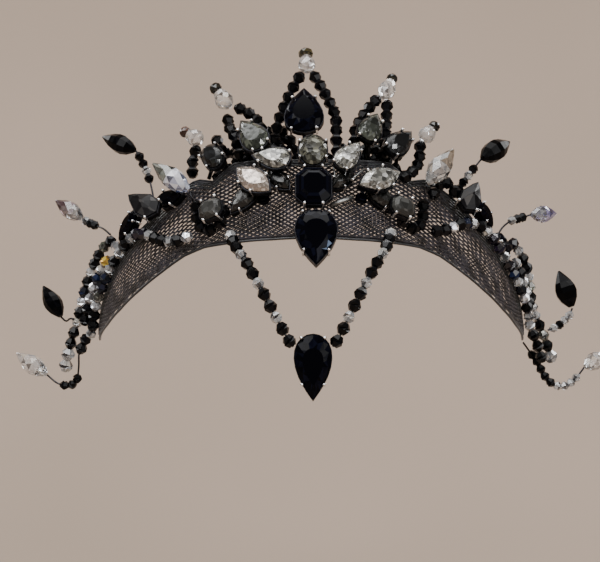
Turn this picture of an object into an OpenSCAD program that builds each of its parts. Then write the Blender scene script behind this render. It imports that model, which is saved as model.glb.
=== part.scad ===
// Ballet tiara: a net band on an edge wire, loops and rows of strung bicone beads,
// claw-set stones over the forehead, a V-shaped bead drop with a pear pendant, and
// drop-shaped stones on wire stems all round the crown.
// Millimetres. The origin is midway between the band's two ends, +Y is the wearer's
// back and +Z is up. The band's front is lifted by band_tilt, as it is worn.

/* [Band] */
// Half of the width between the band's two ends
band_half_w = 76; // [72:0.5:80]
// Depth from the band's ends to its front
band_depth = 70; // [66:0.5:74]
// Slimness of the band's plan: 1 is an ellipse, more brings its sides in
band_slim = 1.25; // [1.1:0.05:1.4]
// Angle in degrees by which the front is lifted
band_tilt = 30; // [26:0.5:34]
// Thickness of the net, two layers on their piping
net_t = 1; // [1:0.1:1.2]
// Radius of the wire along the net's edges
edge_wire_r = 0.6; // [0.5:0.05:0.7]

/* [Beads] */
// Width of the strung bicone beads
bead_d = 4; // [3.8:0.05:4.1]
// Distance from bead to bead along a string
bead_pitch = 4; // [3.9:0.05:4.2]
// Width of the smaller beads on the stems
stem_bead_d = 3; // [2.8:0.05:3.2]
// Distance from bead to bead along a stem
stem_pitch = 3.1; // [3:0.05:3.3]
// Radius of the strings where one bead meets the next
neck_r = 0.8; // [0.7:0.05:0.9]
// Radius of the stems' bare wire
stem_wire_r = 0.45; // [0.4:0.05:0.5]

/* [Stones] */
// Depth of a stone's back below its girdle
stone_back = 1.2; // [1:0.1:1.3]
// Height of a stone's girdle
stone_girdle = 0.5; // [0.4:0.1:0.6]
// Height of a stone's crown above its girdle
stone_crown = 1.6; // [1.4:0.1:1.7]
// Width of a stone's flat table, as a share of the stone
stone_table = 0.58; // [0.5:0.02:0.7]
// Thickness of the cup plate behind a stone
cup_t = 0.7; // [0.6:0.05:0.7]
// Radius of the claws
claw_r = 0.45; // [0.4:0.05:0.5]
// Radius of the wire that joins a cup to the band
shank_r = 0.7; // [0.6:0.05:0.8]

/* [Gaps] */
// Gap between a piece and what carries it
seat_gap = 0.3; // [0.25:0.05:0.35]
// Gap between a claw and its stone's girdle
claw_gap = 0.2; // [0.15:0.05:0.25]

/* [Hidden] */

jet = "#15151a";
jet_bead = "#0c0c0f";
smoke = "#75756c";
clear = "#e4ebf0";
silver = "#c4c5c8";
net_black = "#26262a";

// Standoffs from the middle of the net: a string that lies on it, a cup that lies on it,
// and a cup in the second layer, which clears the first layer's stones
string_o = net_t / 2 + seat_gap + bead_d / 2 + 0.1;
cup_o = net_t / 2 + seat_gap;
upper_cup_o = 5.6;
shank_end_o = edge_wire_r + seat_gap + 0.5;
back_row_o = -2.2;
foot_up = 0.5;
foot_o = 1.7;
stone_t = stone_back + stone_girdle + stone_crown;
stone_z = cup_t + seat_gap;
// Width of a stone's flat back, and cut of a square stone's corners, as shares of its width
stone_foot = 0.5;
corner_cut = 0.25;
// How far a cup stands out past its stone, the ball on a claw, how far the claw passes the
// girdle, and how far a wire is sunk into a cup
cup_rim = 0.45;
claw_ball_r = 0.6;
claw_over = 0.6;
wire_root = 0.3;

// Heights of the net's upper and lower edges, by degrees from the front
// [degrees, height]
NET_TOP = [[0, 30], [13, 31.5], [20, 32.5], [26, 27.5], [31, 30.5], [42, 26.5], [48, 23], [60, 19.5],
    [74, 12], [90, 2]];
NET_LOW = [[0, 0], [10, 0.3], [20, 1.4], [28, 2.6], [34, 2], [42, -0.5], [50, -2.4], [60, -3.9], [70, -4],
    [80, -2.3], [90, 0]];

// Columns of the stone tables
T = 0;      // degrees round the band from its front, + to the wearer's left
U = 1;      // height up the band from its front's lower edge
O = 2;      // standoff of the cup's back from the middle of the net
ROLL = 3;   // turn of the stone on the band
W = 4;      // width
L = 5;      // length
CUT = 6;    // outline: pear, navette, oval or square
TURN = 7;   // turn about the band's upright, which faces a stone to the front

//                   T      U    O           ROLL  W     L     CUT        TURN
KITE_STONE =       [0.8,  -4.4, upper_cup_o, 180, 13.2, 20,   "pear",    0];
CENTRE_STONE =     [0.3,  15.1, upper_cup_o,   0, 11.2, 13.6, "square",  0];
CREST_STONE =      [0.2,  29.2, upper_cup_o,   0, 9.2,  11.8, "oval",    0];
PEAK_STONE =       [-1.8, 45.4, upper_cup_o,   0, 12.6, 17.4, "pear",    0];
CLEAR_NAVETTE_L =  [-13.2, 19.3, upper_cup_o, 46, 8,    15.6, "navette", 0];
CLEAR_NAVETTE_R =  [15.2, 20.1, upper_cup_o, -62, 8,    16,   "navette", 0];
CLEAR_PEAR_L =     [-9.2, 27.2, upper_cup_o,  76, 8,    12.8, "pear",    0];
CLEAR_PEAR_R =     [8.3,  28,   upper_cup_o, -34, 7.6,  12.4, "pear",    0];
SMOKE_NAVETTE_L =  [-7.9, 21,   cup_o,         42, 5,   10,   "navette", 0];
SMOKE_NAVETTE_R =  [7.3,  21.2, cup_o,        -42, 5,   10,   "navette", 0];
SMOKE_PEAR_L =     [-17,  15.1, cup_o,        138, 7,   11,   "pear",    0];
SMOKE_PEAR_R =     [17.2, 15.9, cup_o,       -138, 7,   11,   "pear",    0];
CUSHION_L =        [-23.3, 11.1, upper_cup_o,   8, 8,   7,    "square",  0];
CUSHION_R =        [20.6, 11,   upper_cup_o,   -8, 8,   7,    "square",  0];
LOOP_PEAR_L =      [-13.8, 37.6, upper_cup_o,  32, 9,   14,   "pear",    0];
LOOP_PEAR_R =      [13.6, 40.4, upper_cup_o, -20, 8.2,  11.8, "pear",    0];
OUTER_STONE_L =    [-23.2, 32,  upper_cup_o,  30, 7,    10.4, "oval",    0];
OUTER_STONE_R =    [20.5, 36.8, upper_cup_o,  -39, 7.8, 13,   "pear",    0];
PETAL_L =          [-42.8, 23,  7.2,           50, 8.4, 14,   "pear",    25];
PETAL_R =          [41,   25.6, upper_cup_o,  -24, 7.4, 13,   "pear",   -25];
LEAVES_L = [
                   [-53.2, 24.8, cup_o,       -58, 6,   14.5, "navette", 0],
                   [-38,  25.4, cup_o,         80, 6,   12.6, "navette", 0]];
LEAVES_R = [
                   [48.6, 26.3, cup_o,         58, 5.6, 12,   "navette", 0],
                   [66,   24.5, -3.6,          20, 6,   12,   "navette", 0]];
PENDANT =          [0,    0,    0,          180, 11.4, 20.4, "pear",    0];
SQUARE_BEADS = [
                   [-11.7, 14.7, cup_o,        10, 4,    4,  "square",  0],
                   [11.8, 14.9, cup_o,        -10, 4,    4,  "square",  0]];

// Middle of the pendant's cup, and its lean back from upright in degrees
pendant_at = [0.1, -77.4, -6.4];
pendant_lean = 6;

// Strings of beads on the band: [degrees, height, standoff] from foot to top
so = string_o;
LOOP_CENTRE = [
    [foot(-9.9), [-9, 38, so], [-8.2, 44.5, so], [-6.6, 51, so], [-4.8, 57.5, so], [-2.4, 64.4, so]],
    [foot(6.2), [5.9, 38, so], [5.9, 45.5, so], [4.6, 51.5, so], [2.7, 57.5, so], [0.2, 64.4, so]]];
LOOP_LEFT = [
    [foot(-13.6), [-12.8, 38.6, so], [-12.4, 43.2, so], [-13.6, 46.6, so], [-16, 50.4, so],
        [-19.2, 53.8, so]],
    [foot(-18.2), [-18.8, 39.6, so], [-20.5, 45.1, so], [-21.4, 50.8, so]],
    [for (t = [-27, -23.5, -20, -16, -12, -7, -2.4]) behind(t, 2.2)],
    [behind(-24.6, 12.4), behind(-22.6, 8.2), behind(-20, 6), for (t = [-16, -12, -8, -3.6]) behind(t, 5.9)],
    [behind(-10, 9.6), behind(-4.4, 9.6)],
    [behind(-12.6, 13.3), behind(-6.4, 13.3)]];
LOOP_RIGHT = [
    [foot(10.4), [10.6, 41, so], [12, 46, so], [14.2, 51.5, so], [16.7, 56.8, so]],
    [foot(17.6), [18.2, 41, so], [18.6, 47, so], [19.1, 56, so]],
    [for (t = [2.4, 7, 12, 16, 20, 23.5, 27]) behind(t, 2.2)],
    [behind(6.4, 5.9), behind(10.6, 5.9), behind(15, 6), behind(20, 6.6), behind(24.6, 9.4)]];
LOOP_LEFT_OUTER = [
    [foot(-23.2), [-22.6, 36, so], [-23.4, 40.2, so], [-24.8, 43.6, so]],
    [foot(-31.4), [-30.8, 37, so], [-30, 40.2, so], [-29.6, 41.9, so]]];
LOOP_RIGHT_OUTER = [
    [[22.4, 25.6, so], [24.9, 28.8, so], [27.2, 34.4, so], [28, 43, so]],
    [[31, 21.6, so], [32, 26, so], [34.6, 29.8, so], [37.6, 30, so], [38.4, 26, so]]];
LOOP_LEFT_LOW = [
    [[-21.6, 14.5, so], [-21.8, 10, so], [-23.8, 6.9, so], [-26.4, 6.9, so], [-28.4, 10, so],
        [-29, 14, so], [-29.3, 19.5, so]]];
LOOP_RIGHT_LOW = [
    [[21.4, 14.5, so], [21.6, 10, so], [23.4, 7.4, so], [25.8, 7.4, so], [27.4, 10.5, so],
        [27.9, 14.5, so], [28.1, 19.5, so]]];
BAND_ROW_LEFT = [[-30.4, 6.6, so], [-35, 7, so], [-39, 9, so], [-43, 12.8, so], [-46.5, 16.4, so],
    [-50.5, 18.6, so], [-54.2, 18, so], [-58, 16.6, so], [-62, 14.6, so], [-66, 12.4, so], [-70, 10.2, so],
    [-74, 8, so], [-78, 5.8, so], [-82, 3.6, so], [-86, 1.4, so]];
BAND_ROW_RIGHT = [[30.6, 8.4, so], [34, 10.6, so], [37, 13.2, so], [40.4, 16.6, so], [44, 19, so],
    [48.5, 20, so], [52.4, 18.8, so], [56, 16.4, so], [60, 14, so], [64, 12, so], [68, 10.4, so],
    [72, 8.6, so], [76, 6.8, so], [80, 4.8, so], [84, 2.6, so]];

// Strings and stems that leave the band: points [x, y, z] from their first end. The filler
// strings stand between a rim row and its band row.
BAND_TAIL_LEFT = [[-81.8, 2, -0.6], [-84, 4, -5.2]];
BAND_TAIL_RIGHT = [[81.4, -1.2, -2.4], [83.2, -0.8, -8.4]];
RIM_ROW_LEFT = [on_band(foot(-60.6)), [-70.6, -12.2, 35], [-74, -9, 32.4], [-77.8, -4.4, 26.4],
    [-80.6, -1, 20], [-82.8, 1.6, 13.4], [-84.4, 3.4, 7], [-86.6, 5, 0.6], [-88.2, 6.4, -5.4],
    [-89.8, 7.4, -12]];
RIM_ROW_RIGHT = [on_band(foot(60.6)), [71.2, -11.6, 34.2], [74.2, -8.6, 30.6], [77, -5, 25.4],
    [78.4, -2, 19.6], [79.2, 0.4, 14], [81.2, 2.6, 8.4], [83.8, 4.6, 2.4], [86, 6, -3], [87.6, 6.8, -8.6]];
RIM_FILLER_LEFT = [[-71.4, -14, 29.4], [-74, -10.7, 25.6], [-76.6, -7.3, 20.8],
    [-78.9, -4.3, 15.2], [-80.5, -1.7, 9.8], [-81.7, 0.4, 5]];
RIM_FILLER_RIGHT = [[71.2, -14, 28.8], [73.4, -11.4, 25], [75.6, -8, 20.2],
    [77.3, -4.8, 15], [78.5, -2.6, 11.2]];
DROP_STRAND_LEFT = [wall(-20.4, 4.2, so - 1), [-24.2, -65, 31.2], [-20.6, -70, 26], [-16.4, -74.4, 18.6],
    [-12, -77, 10.4], [-8.2, -78.6, 3.4], [-6.1, -78.7, 0.3]];
DROP_STRAND_RIGHT = [wall(19.6, 4.8, so - 1), [23.8, -65, 31.8], [20.4, -70, 26.4], [16.2, -74.4, 18.8],
    [12, -77, 10.6], [8.4, -78.6, 3.4], [6.3, -78.7, 0.3]];

// Columns of the stem tables
PATH = 0;    // points [x, y, z] from the foot to the drop
LEAD = 1;    // bare wire before the first bead
COUNT = 2;   // number of beads
AIM = 3;     // point that the drop's tip points to
DROP_L = 4;  // length of the drop
DROP_W = 5;  // width of the drop

STEMS_LEFT = [
    [[wall(-31, 19.6, cup_o), [-40.4, -43.4, 49.4], [-41.2, -40.6, 51.2]], 9, 0,
        [-56, -36.4, 62.4], 15.8, 7.4],
    [[wall(-45, 26.2, 0.6), wall(-45, 32.6, 1.8), wall(-45.4, 40, 4), wall(-46.4, 46, 6.4),
        wall(-46.8, 48.6, 8)], 10.6, 4, wall(-55, 58.6, 16), 15.4, 6.8],
    [[[-71, -11.9, 37.4], [-74, -7.6, 39.6], [-77, -3.4, 40.8], [-80.4, 1, 42.2], [-82.4, 3.4, 43.4]],
        10.4, 3, [-93.2, 7.4, 50.5], 12.6, 6.4],
    [[[-87.2, 3.2, 7.4], [-89, 6, 6.4], [-91, 8, 7.8]], 9, 0, [-99.2, 14, 20.4], 14, 6.8],
    [[[-84.15, 4.15, -5.55], [-84.4, 5.4, -11], [-85.4, 6, -15.6], [-88.8, 7, -17], [-92.6, 8.4, -16.2],
        [-96.4, 10, -13.4]], 7.6, 3, [-111.4, 16.5, -3.8], 14.6, 7]];
STEMS_RIGHT = [
    [[wall(29.8, 24, shank_end_o), [38.2, -45.6, 52.4], [38.6, -44.4, 53.2]], 9, 0,
        [48.2, -39.6, 66], 15.4, 7.8],
    [[wall(40.6, 28.1, 0.7), wall(40.8, 32, 2), wall(42, 36.4, 4.6), wall(43.6, 41.2, 7),
        wall(44.4, 43.4, 8)], 1.8, 4, wall(54.2, 58, 15), 15.4, 7.8],
    [[wall(57, 21.5, 0.8), [66.6, -17.4, 39.4], [70, -14.4, 42], [74.4, -10, 43.4], [78.2, -5.8, 44.6]],
        9.4, 3, [88.6, 1.6, 45.4], 12, 6.2],
    [[[85.9, 4.3, 3.2], [89.4, 6.6, 4.4], [92, 8.6, 6.2], [94.6, 10.6, 8.4], [95.8, 11.6, 11]], 1.2, 4,
        [91.3, 14, 24.3], 14, 8.2],
    [[[76.4, 0.2, -1.2], [79.6, 3.6, -5.2], [82.4, 4.8, -9], [84.6, 5.2, -13.2], [88.2, 5.8, -16.6],
        [92.6, 7.6, -17.2], [96.6, 10, -14.8], [100.4, 13, -10.8]], 5.4, 9,
        [112, 20, -4.6], 11, 6.6]];

// Drops that stand on the loops
// [foot, aim, length, width]
FINIAL_TOP = [wall(-1.1, 64.9, so), wall(-1.6, 76, so), 9.6, 6];
FINIAL_LEFT_1 = [[-28.1, -32.6, 80.2], [-34.1, -30.6, 88.6], 10.4, 6.4];
FINIAL_RIGHT_1 = [wall(18, 57.2, so), wall(21.4, 69.6, so + 1), 10.8, 6];
FINIAL_LEFT_2 = [[-37.4, -32.6, 68.6], [-44.8, -30, 72.8], 9, 6];
FINIAL_RIGHT_2 = [[37.6, -32, 69], [43.1, -29.4, 75.2], 8.8, 6];

// Vectors and places on the band
function unit(v) = v / norm(v);
function tilted(p) = [p[0], p[1] * cos(band_tilt) + p[2] * sin(band_tilt),
    -p[1] * sin(band_tilt) + p[2] * cos(band_tilt)];
function inset(t) = max(cos(t), 0);
function plan(t) = [band_half_w * sin(t), -band_depth * pow(inset(t), band_slim), 0];
function along(t) = unit([band_half_w * pow(inset(t), 2 - band_slim), band_depth * band_slim * sin(t), 0]);
function outward(t) = let (a = along(t)) [a[1], -a[0], 0];
function wall(t, u, o) = tilted(plan(t) + [0, 0, u] + o * outward(t));
function on_band(row) = wall(row[0], row[1], row[2]);
function net_top(t) = lookup(abs(t), NET_TOP);
function net_low(t) = lookup(abs(t), NET_LOW);
// Where a string starts, just over the wire on the net's upper edge
function foot(t) = [t, net_top(t) + foot_up, foot_o];
// A place in a row of beads behind the net's upper edge
function behind(t, up) = [t, net_top(t) + up, back_row_o];

// A smooth path through points, as a list of close points
function blend(a, b, c, d, s) = 0.5 * (2 * b + (c - a) * s + (2 * a - 5 * b + 4 * c - d) * s * s
    + (3 * b - a - 3 * c + d) * s * s * s);
function path_point(P, i) = i < 0 ? 2 * P[0] - P[1]
    : i > len(P) - 1 ? 2 * P[len(P) - 1] - P[len(P) - 2] : P[i];
function smooth(P, n = 8) = [for (i = [0:len(P) - 2]) for (k = [0:n - 1])
    blend(path_point(P, i - 1), P[i], P[i + 1], path_point(P, i + 2), k / n), P[len(P) - 1]];
function distances(S) = [for (i = 0, s = 0; i < len(S); s = s + norm(S[min(i + 1, len(S) - 1)] - S[i]),
    i = i + 1) s];
function span_at(D, d) = max([0, for (i = [0:len(D) - 2]) if (D[i] <= d) i]);
function point_at(S, D, d) = let (i = span_at(D, d))
    S[i] + (S[i + 1] - S[i]) * (d - D[i]) / (D[i + 1] - D[i]);
function run_at(S, D, d) = unit(point_at(S, D, d + 0.4) - point_at(S, D, d - 0.4));

// A round of n points about a centre, square to a direction
function ring(c, run, r, n, side = [0, -1, 0]) = let (x = unit(cross(side, run)), y = cross(run, x))
    [for (i = [0:n - 1]) c + r * (cos(360 * i / n) * x + sin(360 * i / n) * y)];
// Triangles of a skin over m rings of n points: side faces and the two end caps
function band_faces(j, k, n) = [for (i = [0:n - 1]) let (i2 = (i + 1) % n)
    each [[j * n + i, k * n + i, k * n + i2], [j * n + i, k * n + i2, j * n + i2]]];
function skin_faces(m, n) = concat([[for (i = [0:n - 1]) i]],
    [for (j = [0:m - 2]) each band_faces(j, j + 1, n)], [[for (i = [n - 1:-1:0]) (m - 1) * n + i]]);
function flat_list(R) = [for (r = R) each r];
// An end cap over a ring that goes up one side of a sheet and down the other, in strips
function strip_cap(n) = [for (k = [0:n / 2 - 2]) each [[k, k + 1, n - 2 - k], [k, n - 2 - k, n - 1 - k]]];
function turned(faces, from) = [for (f = faces) [from + f[2], from + f[1], from + f[0]]];

module skin(rings) polyhedron(flat_list(rings), skin_faces(len(rings), len(rings[0])));

// A string of beads along a path, with bare wire before the first bead and after the last
string_sides = 6;
round_sides = 16;
function bare(from, to, r) = let (n = max(1, ceil((to - from) / 4)))
    [for (i = [0:n]) [from + (to - from) * i / n, r]];
function bead_rings(lead, n, pitch, r) = n == 0 ? [] : concat([[lead + 0.05, neck_r]],
    [for (i = [0:n - 1]) each [[lead + (i + 0.5) * pitch, r], [lead + (i + 1) * pitch, neck_r]]]);
function string_rings(lead, n, pitch, r, wire, total) = let (last = lead + n * pitch)
    concat(lead > 0.1 ? bare(0, min(lead, total), wire) : [], bead_rings(lead, n, pitch, r),
        last < total - 0.2 ? bare(last + 0.05, total, wire) : []);
module beads(P, lead = 0, n = -1, pitch = bead_pitch, r = bead_d / 2, wire = neck_r) {
    S = smooth(P);
    D = distances(S);
    total = D[len(D) - 1];
    count = n < 0 ? floor((total - lead) / pitch + 0.02) : n;
    start = n < 0 ? lead + (total - lead - count * pitch) / 2 : lead;
    skin([for (k = string_rings(start, count, pitch, r, wire, total))
        ring(point_at(S, D, k[0]), run_at(S, D, k[0]), k[1], string_sides)]);
}
module strands(list) for (s = list) beads([for (row = s) on_band(row)]);

// Outlines of the cut stones, anticlockwise
function pear(w, l) = [for (i = [0:11]) let (a = 30 * i) [-w / 1.54 * sin(a) * sin(a / 2), l / 2 * cos(a)]];
function navette(w, l) = [for (i = [0:11])
    let (s = i < 6 ? 1 - i / 3 : (i - 6) / 3 - 1, side = i < 6 ? -1 : 1)
    [side * w / 2 * (1 - s * s), l / 2 * s]];
function oval(w, l) = [for (i = [0:11]) [w / 2 * cos(30 * i), l / 2 * sin(30 * i)]];
function square_cut(w, l) = let (c = corner_cut * min(w, l), x = w / 2, y = l / 2)
    [[x, y - c], [x - c, y], [c - x, y], [-x, y - c], [-x, c - y], [c - x, -y], [x - c, -y], [x, c - y]];
function outline(s) = s[CUT] == "pear" ? pear(s[W], s[L]) : s[CUT] == "navette" ? navette(s[W], s[L])
    : s[CUT] == "oval" ? oval(s[W], s[L]) : square_cut(s[W], s[L]);
function grown(P, by) = [for (p = P) p + by * unit(p)];
// The outline's corners that a claw holds
function claw_corners(s) = s[CUT] == "square" ? [1, 2, 5, 6] : s[CUT] == "oval" ? [1, 5, 7, 11]
    : s[CUT] == "navette" ? [2, 4, 8, 10] : [2, 5, 7, 10];

module stone(s) {
    P = outline(s);
    skin([for (k = [[stone_foot, 0], [1, stone_back], [1, stone_back + stone_girdle], [stone_table, stone_t]])
        [for (p = P) [p[0] * k[0], p[1] * k[0], k[1] + stone_z]]]);
}
// The cup plate with its claws, the stone's seat
module setting(s) {
    P = outline(s);
    top = stone_z + stone_back + stone_girdle;
    linear_extrude(cup_t) polygon(grown(P, cup_rim));
    for (i = claw_corners(s)) {
        p = P[i] + (claw_gap + claw_r) * unit(P[i]);
        translate([p[0], p[1], 0.1]) cylinder(h = top + claw_over - 0.1, r = claw_r, $fn = round_sides);
        translate([p[0], p[1], top + claw_over]) sphere(claw_ball_r, $fn = round_sides);
    }
}
module on_wall(t, u, o, roll = 0, turn = 0) {
    p = wall(t, u, o);
    x = tilted(along(t));
    y = tilted([0, 0, 1]);
    z = tilted(outward(t));
    multmatrix([[x[0], y[0], z[0], p[0]], [x[1], y[1], z[1], p[1]], [x[2], y[2], z[2], p[2]]])
        rotate([0, turn, 0]) rotate([0, 0, roll]) children();
}
module placed(s) on_wall(s[T], s[U], s[O], s[ROLL], s[TURN]) children();
// A wire from a cup's back to a point on the band
module wire_between(p, q, r) {
    z = unit(q - p);
    x = unit(cross([1, 0, 0], z));
    y = cross(z, x);
    multmatrix([[x[0], y[0], z[0], p[0]], [x[1], y[1], z[1], p[1]], [x[2], y[2], z[2], p[2]]])
        cylinder(h = norm(q - p), r = r, $fn = round_sides);
}
module shank(s, t, u, o, start = 0)
    wire_between(wall(s[T] + start, s[U], s[O] + wire_root), wall(t, u, o), shank_r);
module straight_shank(s) shank(s, s[T], s[U], cup_o);

// A faceted drop with its pointed end up, standing on a narrow foot
drop_sides = 8;
drop_gap = 0.2;
// [share of the length, share of the width]
DROP_RINGS = [[0, 0.26], [0.12, 0.56], [0.4, 1], [0.66, 0.78], [0.88, 0.36], [1, 0.1]];
module drop(foot, aim, l, w) {
    run = unit(aim - foot);
    skin([for (k = DROP_RINGS) ring(foot + run * (k[0] * l), run, k[1] * w / 2, drop_sides)]);
}
module stem(row) beads(row[PATH], row[LEAD], row[COUNT], stem_pitch, stem_bead_d / 2, stem_wire_r);
module stem_drop(row) {
    end = row[PATH][len(row[PATH]) - 1];
    run = unit(row[AIM] - end);
    gap = seat_gap + (row[COUNT] == 0 ? drop_gap : drop_gap + 0.1);
    drop(end + run * gap, row[AIM], row[DROP_L], row[DROP_W]);
}
module on_pendant() translate(pendant_at) rotate([90 - pendant_lean, 0, 0])
    rotate([0, 0, PENDANT[ROLL]]) children();

// The net and its wire
net_step = 4;
net_rows = 4;
net_end = 84;
net_tuck = 0.2;
module net_band() color(net_black) {
    edge = edge_wire_r + seat_gap + net_tuck;
    n = 2 * (net_rows + 1);
    rings = [for (t = [-net_end:net_step:net_end]) let (low = net_low(t) + edge, high = net_top(t) - edge)
        concat(
            [for (k = [0:net_rows]) wall(t, low + (high - low) * k / net_rows, net_t / 2)],
            [for (k = [net_rows:-1:0]) wall(t, low + (high - low) * k / net_rows, -net_t / 2)])];
    last = len(rings) - 1;
    polyhedron(flat_list(rings), concat(strip_cap(n), [for (j = [0:last - 1]) each band_faces(j, j + 1, n)],
        turned(strip_cap(n), last * n)));
}
wire_sides = 6;
module frame_wire() color(net_black) {
    stations = concat([-90], [for (t = [-net_end:net_step:net_end]) t], [90]);
    low = [for (t = stations) [t, net_low(t)]];
    high = [for (i = [len(stations) - 1:-1:0]) [stations[i], net_top(stations[i])]];
    P = concat(low, high);
    m = len(P);
    C = [for (p = P) wall(p[0], p[1], 0)];
    rings = [for (i = [0:m - 1]) ring(C[i], unit(C[(i + 1) % m] - C[(i + m - 1) % m]), edge_wire_r,
        wire_sides, tilted(outward(P[i][0])))];
    polyhedron(flat_list(rings), [for (j = [0:m - 1]) each band_faces(j, (j + 1) % m, wire_sides)]);
}

// The strings of beads
module rim_row(row, filler) color(jet_bead) {
    beads(row);
    beads(filler);
}
module rim_row_left() rim_row(RIM_ROW_LEFT, RIM_FILLER_LEFT);
module rim_row_right() rim_row(RIM_ROW_RIGHT, RIM_FILLER_RIGHT);
module band_row(rows, tail) color(jet_bead) beads(concat([for (row = rows) on_band(row)], tail));
module band_row_left() band_row(BAND_ROW_LEFT, BAND_TAIL_LEFT);
module band_row_right() band_row(BAND_ROW_RIGHT, BAND_TAIL_RIGHT);
module loop_centre() color(jet_bead) strands(LOOP_CENTRE);
module loop_left() color(jet_bead) strands(LOOP_LEFT);
module loop_right() color(jet_bead) strands(LOOP_RIGHT);
module loop_left_outer() color(jet_bead) strands(LOOP_LEFT_OUTER);
module loop_right_outer() color(jet_bead) strands(LOOP_RIGHT_OUTER);
module loop_left_low() color(jet_bead) strands(LOOP_LEFT_LOW);
module loop_right_low() color(jet_bead) strands(LOOP_RIGHT_LOW);
module drop_strand_left() color(jet_bead) beads(DROP_STRAND_LEFT);
module drop_strand_right() color(jet_bead) beads(DROP_STRAND_RIGHT);

// The stones
module kite_stone() color(jet) placed(KITE_STONE) stone(KITE_STONE);
module centre_stone() color(jet) placed(CENTRE_STONE) stone(CENTRE_STONE);
module crest_stone() color(smoke) placed(CREST_STONE) stone(CREST_STONE);
module peak_stone() color(jet) placed(PEAK_STONE) stone(PEAK_STONE);
module pendant_stone() color(jet) on_pendant() stone(PENDANT);
module clear_navette_left() color(clear) placed(CLEAR_NAVETTE_L) stone(CLEAR_NAVETTE_L);
module clear_navette_right() color(clear) placed(CLEAR_NAVETTE_R) stone(CLEAR_NAVETTE_R);
module clear_pear_left() color(clear) placed(CLEAR_PEAR_L) stone(CLEAR_PEAR_L);
module clear_pear_right() color(clear) placed(CLEAR_PEAR_R) stone(CLEAR_PEAR_R);
module smoke_navette_left() color(smoke) placed(SMOKE_NAVETTE_L) stone(SMOKE_NAVETTE_L);
module smoke_navette_right() color(smoke) placed(SMOKE_NAVETTE_R) stone(SMOKE_NAVETTE_R);
module smoke_pear_left() color(smoke) placed(SMOKE_PEAR_L) stone(SMOKE_PEAR_L);
module smoke_pear_right() color(smoke) placed(SMOKE_PEAR_R) stone(SMOKE_PEAR_R);
module cushion_stone_left() color(smoke) placed(CUSHION_L) stone(CUSHION_L);
module cushion_stone_right() color(smoke) placed(CUSHION_R) stone(CUSHION_R);
module loop_pear_left() color(smoke) placed(LOOP_PEAR_L) stone(LOOP_PEAR_L);
module loop_pear_right() color(smoke) placed(LOOP_PEAR_R) stone(LOOP_PEAR_R);
module outer_stone_left() color(jet) placed(OUTER_STONE_L) stone(OUTER_STONE_L);
module outer_stone_right() color(jet) placed(OUTER_STONE_R) stone(OUTER_STONE_R);
module petal_stone_left() color(smoke) placed(PETAL_L) stone(PETAL_L);
module petal_stone_right() color(smoke) placed(PETAL_R) stone(PETAL_R);
module square_beads() color(jet) for (s = SQUARE_BEADS) placed(s) translate([0, 0, -stone_z]) stone(s);
module rim_leaves_left() color(jet) for (s = LEAVES_L) placed(s) stone(s);
module rim_leaves_right() color(jet) for (s = LEAVES_R) placed(s) stone(s);

// The settings: a cup and claws each, and the wire that carries it on the band
module cup(s) placed(s) setting(s);
module cup_on_net(s) {
    cup(s);
    straight_shank(s);
}
module cup_above_net(s, t) {
    cup(s);
    shank(s, t, net_top(t) + 0.4, shank_end_o);
}
module pendant_setting() color(silver) on_pendant() setting(PENDANT);
module centre_settings() color(silver) {
    cup(KITE_STONE);
    shank(KITE_STONE, 0.8, 3, shank_end_o);
    cup_on_net(CENTRE_STONE);
    cup(CREST_STONE);
    shank(CREST_STONE, 0.2, 26, shank_end_o);
    cup(PEAK_STONE);
    shank(PEAK_STONE, -1.8, net_top(0) + 0.8, shank_end_o + 0.2);
    cup_on_net(CLEAR_PEAR_L);
    cup_on_net(CLEAR_PEAR_R);
}
module left_settings() color(silver) {
    cup(SMOKE_NAVETTE_L);
    cup(SMOKE_PEAR_L);
    cup_on_net(CLEAR_NAVETTE_L);
    cup(CUSHION_L);
    shank(CUSHION_L, -25, 11.6, shank_end_o, -1.2);
    cup(LOOP_PEAR_L);
    shank(LOOP_PEAR_L, -15.9, net_top(16) + 0.4, shank_end_o, -1.8);
    cup_above_net(OUTER_STONE_L, -26.6);
    cup(PETAL_L);
    shank(PETAL_L, -45.8, 23.4, shank_end_o);
    for (s = LEAVES_L) cup(s);
}
module right_settings() color(silver) {
    cup(SMOKE_NAVETTE_R);
    cup(SMOKE_PEAR_R);
    cup(CLEAR_NAVETTE_R);
    shank(CLEAR_NAVETTE_R, 13, 22.4, shank_end_o, -1.4);
    cup(CUSHION_R);
    shank(CUSHION_R, 24.4, 12.4, shank_end_o, 2);
    cup_above_net(LOOP_PEAR_R, 14);
    cup_above_net(OUTER_STONE_R, 21.4);
    cup_on_net(PETAL_R);
    cup(LEAVES_R[0]);
    cup(LEAVES_R[1]);
    leaf = LEAVES_R[1];
    wire_between(wall(67.2, 19, leaf[O] + wire_root), wall(66.2, net_top(66.2) + 1.4, -1), stem_wire_r);
}

// The stems and the drops
module stems_left() color(silver) for (row = STEMS_LEFT) stem(row);
module stems_right() color(silver) for (row = STEMS_RIGHT) stem(row);
module finial(row) drop(row[0], row[1], row[2], row[3]);
module finial_top() color(clear) finial(FINIAL_TOP);
module finial_left_1() color(clear) finial(FINIAL_LEFT_1);
module finial_left_2() color(clear) finial(FINIAL_LEFT_2);
module finial_left_3() color(clear) stem_drop(STEMS_LEFT[0]);
module finial_left_4() color(jet) stem_drop(STEMS_LEFT[1]);
module finial_left_5() color(clear) stem_drop(STEMS_LEFT[2]);
module finial_left_6() color(jet) stem_drop(STEMS_LEFT[3]);
module finial_left_7() color(clear) stem_drop(STEMS_LEFT[4]);
module finial_right_1() color(clear) finial(FINIAL_RIGHT_1);
module finial_right_2() color(clear) finial(FINIAL_RIGHT_2);
module finial_right_3() color(clear) stem_drop(STEMS_RIGHT[0]);
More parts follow.
